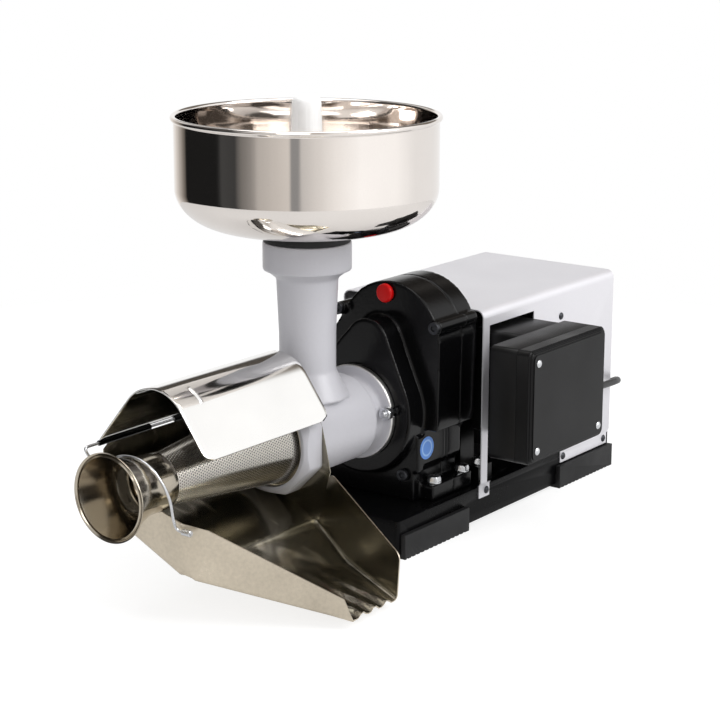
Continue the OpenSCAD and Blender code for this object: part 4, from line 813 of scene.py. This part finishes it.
def tray_mesh():
    """The folded sheet from its corners and panels, with soft folds, the ribs and a saddle for the neck."""
    fold_r, finest, saddle_r = 0.005, 0.006, 28.5
    points = [(rear_x, 50, axis_z - 40.4), (rear_x, 60, axis_z - 26), (front_x, 46, axis_z - 47),
              (front_x, 56, axis_z - 27), (rear_x, -46.5, axis_z - 82.5), (front_x, -38, axis_z - 86.5),
              (rear_x - 14.6, -99, axis_z - 110), (rear_x - 32.4, -168, axis_z - 126.3),
              (rear_x - 108.4, -165, axis_z - 125.3), (rear_x - 29.4, -169, axis_z - 81.5),
              (rear_x - 111, -164, axis_z - 103), (rear_x, -62, axis_z - 25.7),
              (front_x + 14.5, -60, axis_z - 45.3), (front_x, -32, axis_z - 30.8)]
    saddle_angles = [radians(a) for a in (31.7, 26, 20, 14, 7, 0, -7, -14, -20, -27.7)]
    notch = tuple(range(len(points), len(points) + len(saddle_angles)))
    points += [(front_x, saddle_r * sin(a), axis_z - saddle_r * cos(a)) for a in saddle_angles]
    panels = [(0, 1, 3, 2), (4, 0, 2, 5), (4, 5, 6), (6, 5, 8), (6, 8, 7), (11, 4, 6), (11, 6, 9), (6, 7, 9),
              (2, 3) + notch + (13, 5), (5, 13, 12), (5, 12, 8), (8, 12, 10)]
    bm = bmesh.new()
    verts = [bm.verts.new(at(*p)) for p in points]
    for panel in panels:
        bm.faces.new([verts[i] for i in panel])
    bmesh.ops.dissolve_limit(bm, angle_limit=radians(1.5), verts=bm.verts, edges=bm.edges)
    folds = [e for e in bm.edges if len(e.link_faces) == 2]
    bmesh.ops.bevel(bm, geom=folds, offset=fold_r, offset_type="OFFSET", segments=4, profile=0.5,
                    affect="EDGES", clamp_overlap=True)
    for _ in range(5):
        long_edges = [e for e in bm.edges if e.calc_length() > finest]
        if not long_edges:
            break
        bmesh.ops.subdivide_edges(bm, edges=long_edges, cuts=1, use_grid_fill=False)
        bmesh.ops.triangulate(bm, faces=[f for f in bm.faces if len(f.verts) > 4])
    press_ribs(bm)
    bmesh.ops.recalc_face_normals(bm, faces=bm.faces)
    mesh = bpy.data.meshes.new("tray_sheet")
    bm.to_mesh(mesh)
    bm.free()
    for _ in ("outside", "inside"):
        mesh.materials.append(None)
    return mesh


def brushed_sheet(name, base, roughness, along, depth, metallic=1.0):
    """Brushed stainless: long fine streaks along one axis, and patches from handling."""
    along_per_m, across_per_m = 18.0, 1400.0
    m, tree, shader = material(name, base, metallic, roughness)
    add_mottle(tree, shader, 300.0, 10.0, depth, rough_share=0.3)
    stretch = tuple(along_per_m if axis == along else across_per_m for axis in "xyz")
    add_bump(tree, shader, stretched_noise(tree, stretch, Scale=1.0, Detail=2.0), 0.10, 0.0002)
    return m


tray_satin = brushed_sheet("tray_satin", (0.66, 0.585, 0.47), 0.30, "y", 0.8)
# The tray's inner side, its rear plate and its far wall get a darker colour than the outer side as painted
# shade, with paler bands of painted reflection.
tray_painted_shade = painted_shade_sheet("tray_painted_shade", (0.26, 0.24, 0.19), (0.80, 0.74, 0.60), (26, 9, 22))
piece("tray_sheet", thickened(tray_mesh(), 0.0012), "frame", (tray_satin, tray_painted_shade), 50,
      ("drip_tray",))


def tray_plate_mesh():
    """The rear plate: a disc round the nose that widens to the folds, with its hole."""
    plate_r, hole_r, hole_parts = 55, 44.2, 72
    outline = [(-62, 108.6)]
    outline += [(plate_r * cos(radians(a)), axis_z + plate_r * sin(radians(a))) for a in range(160, 19, -4)]
    outline += [(60, 108.3), (50, 93.9), (-46.5, 51.8)]
    turns = [2 * pi * k / hole_parts for k in range(hole_parts)]
    hole = [(hole_r * cos(a), axis_z + hole_r * sin(a)) for a in turns]
    bm = bmesh.new()
    loops = []
    for line in (outline, hole):
        verts = [bm.verts.new(at(rear_x, y, z)) for y, z in line]
        loops += [bm.edges.new(pair) for pair in zip(verts, verts[1:] + verts[:1])]
    bmesh.ops.triangle_fill(bm, use_beauty=True, use_dissolve=False, edges=loops)
    mesh = bpy.data.meshes.new("tray_plate")
    bm.to_mesh(mesh)
    bm.free()
    return mesh


# The rear plate is coloured as painted shade.
piece("tray_plate", thickened(tray_plate_mesh(), 0.00118), "frame", tray_painted_shade, 30,
      ("drip_tray",))


def far_wall_mesh():
    """The tray's far side, which stands up to the guard's hinge, its upper corners rounded."""
    start_x, length, foot_z, height, foot_y = -236.6, 181.4, 108.0, 52.5, 56.6
    spread_to_rear, lean = 3.0, 4.9
    corner, cuts, rows = 7.0, 36, 12
    points = []
    for j in range(rows + 1):
        t = j / rows
        z = foot_z + height * t
        inset = rounded_inset(corner, foot_z + height - z)
        for i in range(cuts + 1):
            x = start_x + inset + (length - 2 * inset) * i / cuts
            points.append(at(x, foot_y + spread_to_rear * (x - start_x) / length * (1 - t) + lean * t, z))
    return mesh_of(points, grid_faces(rows + 1, cuts + 1))


# The far wall is coloured as painted shade.
piece("tray_far_wall", thickened(far_wall_mesh(), 0.0012), "frame", tray_painted_shade, 40,
      ("drip_tray",))
lug_hole, lug_r, lug_edge, lug_half = 1.56, 3.2, 2.8, 5
for number, y in enumerate((-47, 47)):
    near_half = [(lug_hole, y - lug_half), (lug_edge, y - lug_half), (lug_r, y - lug_half + 0.4)]
    far_half = [(lug_r, y + lug_half - 0.4), (lug_edge, y + lug_half), (lug_hole, y + lug_half)]
    piece(f"tray_lug_{number + 1}", lathe(near_half + far_half, (lug_x, lug_z), "y", 32), "frame",
          bright_zinc, 40, ("drip_tray",))


# GEARBOX
# Two gloss black castings bolted together: the front one carries the press body and
# has the bulging banana-shaped boss, the rear one closes the gears and takes the motor.
def black_enamel(name, roughness, specular=0.22):
    return mottled_finish(name, (0.0022, 0.0022, 0.0025), roughness, 240.0, 20.0, 0.3, (0.22, 0.0003),
                          specular=specular)


gloss_black = black_enamel("gloss_black", 0.2)
for casting in ("gearbox_housing", "gearbox_rear_cover"):
    piece(casting + "_piece", soft_casting(casting, 6), "frame", gloss_black, 60, (casting,))


# OIL PLUG
# Red plastic filler plug, screwed into the top of the gearbox, where the oil for
# the gears goes in.
filler_red = mottled_finish("plug_red", (0.60, 0.003, 0.003), 0.36, 900.0, 60.0, 0.2, (0.1, 0.0001),
                            specular=0.25)
finished("oil_plug", filler_red, 0.0005)


# TIE BOLTS
# Steel socket screws, blackened with oxide, that pull the gearbox's two castings
# together.
oxide = mottled_finish("black_oxide", (0.05, 0.052, 0.058), 0.36, 1200.0, 90.0, 0.3, (0.15, 0.0001),
                       metallic=0.9)
finished("tie_bolts", oxide, 0.0004)


# GEARS, SHAFTS AND BEARINGS
# Cut steel gears on ground shafts, in shielded ball bearings, all with a film of oil.
# They are closed in by the two castings and the motor.
def oiled_steel(name, base, roughness):
    return mottled_finish(name, base, roughness, 800.0, 45.0, 0.3, (0.15, 0.0001), metallic=1.0)


gear_finish = oiled_steel("gear_finish", (0.42, 0.38, 0.30), 0.3)
ground_finish = oiled_steel("ground_finish", (0.55, 0.55, 0.56), 0.2)
for part in ("output_gear", "idler_gear", "idler_shaft", "motor_pinion"):
    finished(part, gear_finish, 0.0, 25)
for part in ("output_shaft", "output_bearings", "idler_bearings", "motor_bearings", "motor_rotor"):
    finished(part, ground_finish, 0.0, 30)


# STICKER
# A plain round blue film with a paler printed ring, stuck on the near side of the
# gearbox's foot.
def ring_mask(tree, centre, inner_r, outer_r, soft=0.25):
    """1 between two radii in millimetres about a point, with a soft edge."""
    where = node(tree, "ShaderNodeTexCoord").outputs["Object"]
    line = node(tree, "ShaderNodeVectorMath", {0: where, 1: tuple(at(*centre))}, operation="DISTANCE")
    away = line.outputs["Value"]
    beyond = spread(tree, away, (inner_r - soft) / 1000, (inner_r + soft) / 1000)
    within = spread(tree, away, (outer_r - soft) / 1000, (outer_r + soft) / 1000, 1.0, 0.0)
    return calc(tree, "MULTIPLY", beyond, within)


def blue_film():
    blue, pale_blue = (0.10, 0.27, 0.72), (0.32, 0.52, 0.88)
    m, tree, shader = material("blue_film", blue, roughness=0.4)
    ring = ring_mask(tree, (116, -68, 97.3), 7.2, 9.2)
    feed(tree, shader.inputs["Base Color"], mixed(tree, ring, blue, pale_blue))
    return m


finished("gear_sticker", blue_film())


# MOTOR
# Finned black motor with two end shields, a plastic fan behind and a pressed steel
# cowl over the fan. The stator's copper winding is inside.
motor_black = black_enamel("motor_black", 0.32)
for part in ("motor_front_shield", "motor_body", "motor_rear_shield"):
    finished(part, motor_black)
fan_plastic = moulded_black("fan_plastic", 0.5)
finished("motor_fan", fan_plastic)
frame_black = black_enamel("frame_black", 0.30, 0.10)
finished("fan_cowl", frame_black)
winding = mottled_finish("stator_finish", (0.32, 0.15, 0.06), 0.4, 700.0, 60.0, 0.5, (0.3, 0.0003),
                         metallic=0.7)
finished("motor_stator", winding)


# BASE
# Steel sheet folded down on all four sides and powder-coated black. The gearbox and
# the motor stand on it.
finished("base_frame", frame_black, 0.0007, 30)


# FEET AND FOOT BOLTS
# Black rubber blocks with toothed soles, pushed over the edge of the base, and the
# zinc-plated hexagon screws that hold the gearbox's and the motor's feet down.
foot_rubber = moulded_black("foot_rubber", 0.55, 0.011)
for part in ("front_feet", "rear_feet"):
    finished(part, foot_rubber, 0.0005, 30)
finished("foot_bolts", bright_zinc, 0.0003, 28)


# MOTOR COVER
# Brushed stainless hood over the motor, stepped in along its lower edges and
# screwed to the base.
cover_steel = brushed_sheet("cover_steel", (0.80, 0.79, 0.825), 0.40, "x", 0.08, metallic=0.45)
finished("motor_cover", cover_steel)
finished("cover_screws", oxide, 0.0003, 28)


# SWITCH BOX
# Three black plastic mouldings with a fine spark-eroded grain: the mount on the
# motor, the box and its lid, closed by three bright screws.
box_black = mottled_finish("grained_plastic", (0.0045, 0.0045, 0.0048), 0.36, 1900.0, 18.0, 0.35,
                           (0.4, 0.00016), specular=0.22)
finished("box_mount", box_black, 0.0008, 30)
finished("switch_box", box_black, 0.0008, 30)
finished("box_lid", box_black, 0.0, 40)
finished("lid_screws", bright_zinc, 0.0003, 28)


# SWITCH AND CAPACITOR
# A red plastic rocker in a black bezel, snapped into the box's rear end, and the
# motor's capacitor, a grey plastic can inside the box.
finished("switch_bezel", gland_black, 0.0005, 30)
finished("switch_rocker", filler_red, 0.0005, 30)
can_grey = mottled_finish("can_grey", (0.55, 0.55, 0.53), 0.45, 900.0, 40.0, 0.2, (0.1, 0.0001))
finished("capacitor", can_grey, 0.0005)


# FLOOR AND LIGHT
# A plain white table under soft lamps, and a white background. Mirror rays alone see
# a studio of white and dark panels round the machine, for the polished steel.
table_r, table_parts = 1.25, 96
edge = [(table_r * cos(2 * pi * k / table_parts), table_r * sin(2 * pi * k / table_parts), 0)
        for k in range(table_parts)]
floor = placed("table", mesh_of(edge, [tuple(range(table_parts))]))
white, tree, shader = material("table_white", (0.34, 0.34, 0.34), roughness=0.9)
seen_by = node(tree, "ShaderNodeLightPath").outputs
seen = calc(tree, "MAXIMUM", calc(tree, "MAXIMUM", seen_by["Is Camera Ray"], seen_by["Is Glossy Ray"]),
            seen_by["Is Transmission Ray"])
glow = spread(tree, seen, 0.0, 1.0, 0.35, 0.76)
dim_in_mirrors = spread(tree, seen_by["Is Glossy Ray"], 0.0, 1.0, 1.0, 0.6)
for label, value in (("Specular IOR Level", 0.0), ("Emission Color", (1, 1, 1)),
                     ("Emission Strength", calc(tree, "MULTIPLY", glow, dim_in_mirrors))):
    feed(tree, shader.inputs[label], value)
floor.data.materials.append(white)


def panels_round(tree, turn, panels):
    """A colour ramp round the machine from (degrees, brightness, warmth) stops."""
    ramp = node(tree, "ShaderNodeValToRGB", {"Fac": turn})
    elements = ramp.color_ramp.elements
    elements[0].position, elements[1].position = 0, 1
    for degrees, _, _ in panels[1:-1]:
        elements.new(degrees / 360)
    for element, (degrees, value, warmth) in zip(elements, panels):
        element.position = degrees / 360
        element.color = (value, value * (1 - 0.5 * warmth), value * (1 - warmth), 1)
    return ramp.outputs["Color"]


low_panels = [(0, 0.9, 0), (50, 1.0, 0), (66, 0.8, 0.1), (86, 0.25, 0.2), (93, 0.012, 0), (136, 0.012, 0),
              (141, 0.06, 0), (155, 0.05, 0), (161, 0.2, 0.1), (171, 0.3, 0.1), (176, 0.5, 0.1),
              (190, 0.62, 0.1), (203, 0.72, 0.1), (205.5, 0.30, 0), (211.5, 0.30, 0), (214, 0.62, 0.05),
              (228, 0.78, 0.05), (245, 0.98, 0.03), (265, 1.15, 0), (300, 1.1, 0), (325, 0.92, 0),
              (360, 0.9, 0)]
high_panels = [(0, 0.12, 0.3), (12, 0.34, 0.2), (22, 0.10, 0.3), (45, 0.06, 0.2), (60, 0.5, 0.1),
               (75, 0.9, 0), (95, 0.10, 0.1), (150, 0.08, 0.1), (160, 0.6, 0), (200, 0.9, 0),
               (230, 0.5, 0.1), (250, 1.0, 0), (326, 1.1, 0), (336, 1.05, 0), (345, 0.3, 0.2),
               (352, 0.14, 0.3), (360, 0.12, 0.3)]
world = bpy.data.worlds.new("studio")
bpy.context.scene.world = world
world.use_nodes = True
tree = world.node_tree
tree.nodes.clear()
towards = node(tree, "ShaderNodeTexCoord").outputs["Generated"]
parts = node(tree, "ShaderNodeSeparateXYZ", {0: towards}).outputs
turn = calc(tree, "FRACT", calc(tree, "DIVIDE", calc(tree, "ARCTAN2", parts["Y"], parts["X"]), 2 * pi))
low_top, high_foot = 0.24, 0.34
height = spread(tree, parts["Z"], low_top, high_foot, kind="SMOOTHSTEP")
panels = mixed(tree, height, panels_round(tree, turn, low_panels), panels_round(tree, turn, high_panels))
mirrored = node(tree, "ShaderNodeBackground", {"Color": panels}).outputs[0]
plain = node(tree, "ShaderNodeBackground", {"Color": (1, 1, 1), "Strength": 0.55}).outputs[0]
background = node(tree, "ShaderNodeBackground", {"Color": (1, 1, 1)}).outputs[0]
seen_by = node(tree, "ShaderNodeLightPath").outputs
lighting = node(tree, "ShaderNodeMixShader", {0: seen_by["Is Glossy Ray"], 1: plain, 2: mirrored})
whole = node(tree, "ShaderNodeMixShader", {
    0: seen_by["Is Camera Ray"], 1: lighting.outputs[0], 2: background})
node(tree, "ShaderNodeOutputWorld", {"Surface": whole.outputs[0]})


def lamp(name, place, size, power):
    """A soft rectangular lamp that looks at the middle of the machine."""
    light = bpy.data.lights.new(name, "AREA")
    light.shape = "RECTANGLE"
    light.size, light.size_y = size
    light.energy = power
    obj = placed(name, light)
    obj.location = place
    obj.rotation_euler = (Vector((0, 0, 0.2)) - Vector(place)).to_track_quat("-Z", "Y").to_euler()


lamp("key", (0.35, -1.9, 1.6), (1.4, 1.4), 34)
lamp("top", (0.1, 0.2, 1.9), (1.6, 1.0), 12)
lamp("front", (-1.9, -0.9, 1.3), (1.0, 1.0), 8)

bpy.context.scene.view_settings.view_transform = "Standard"
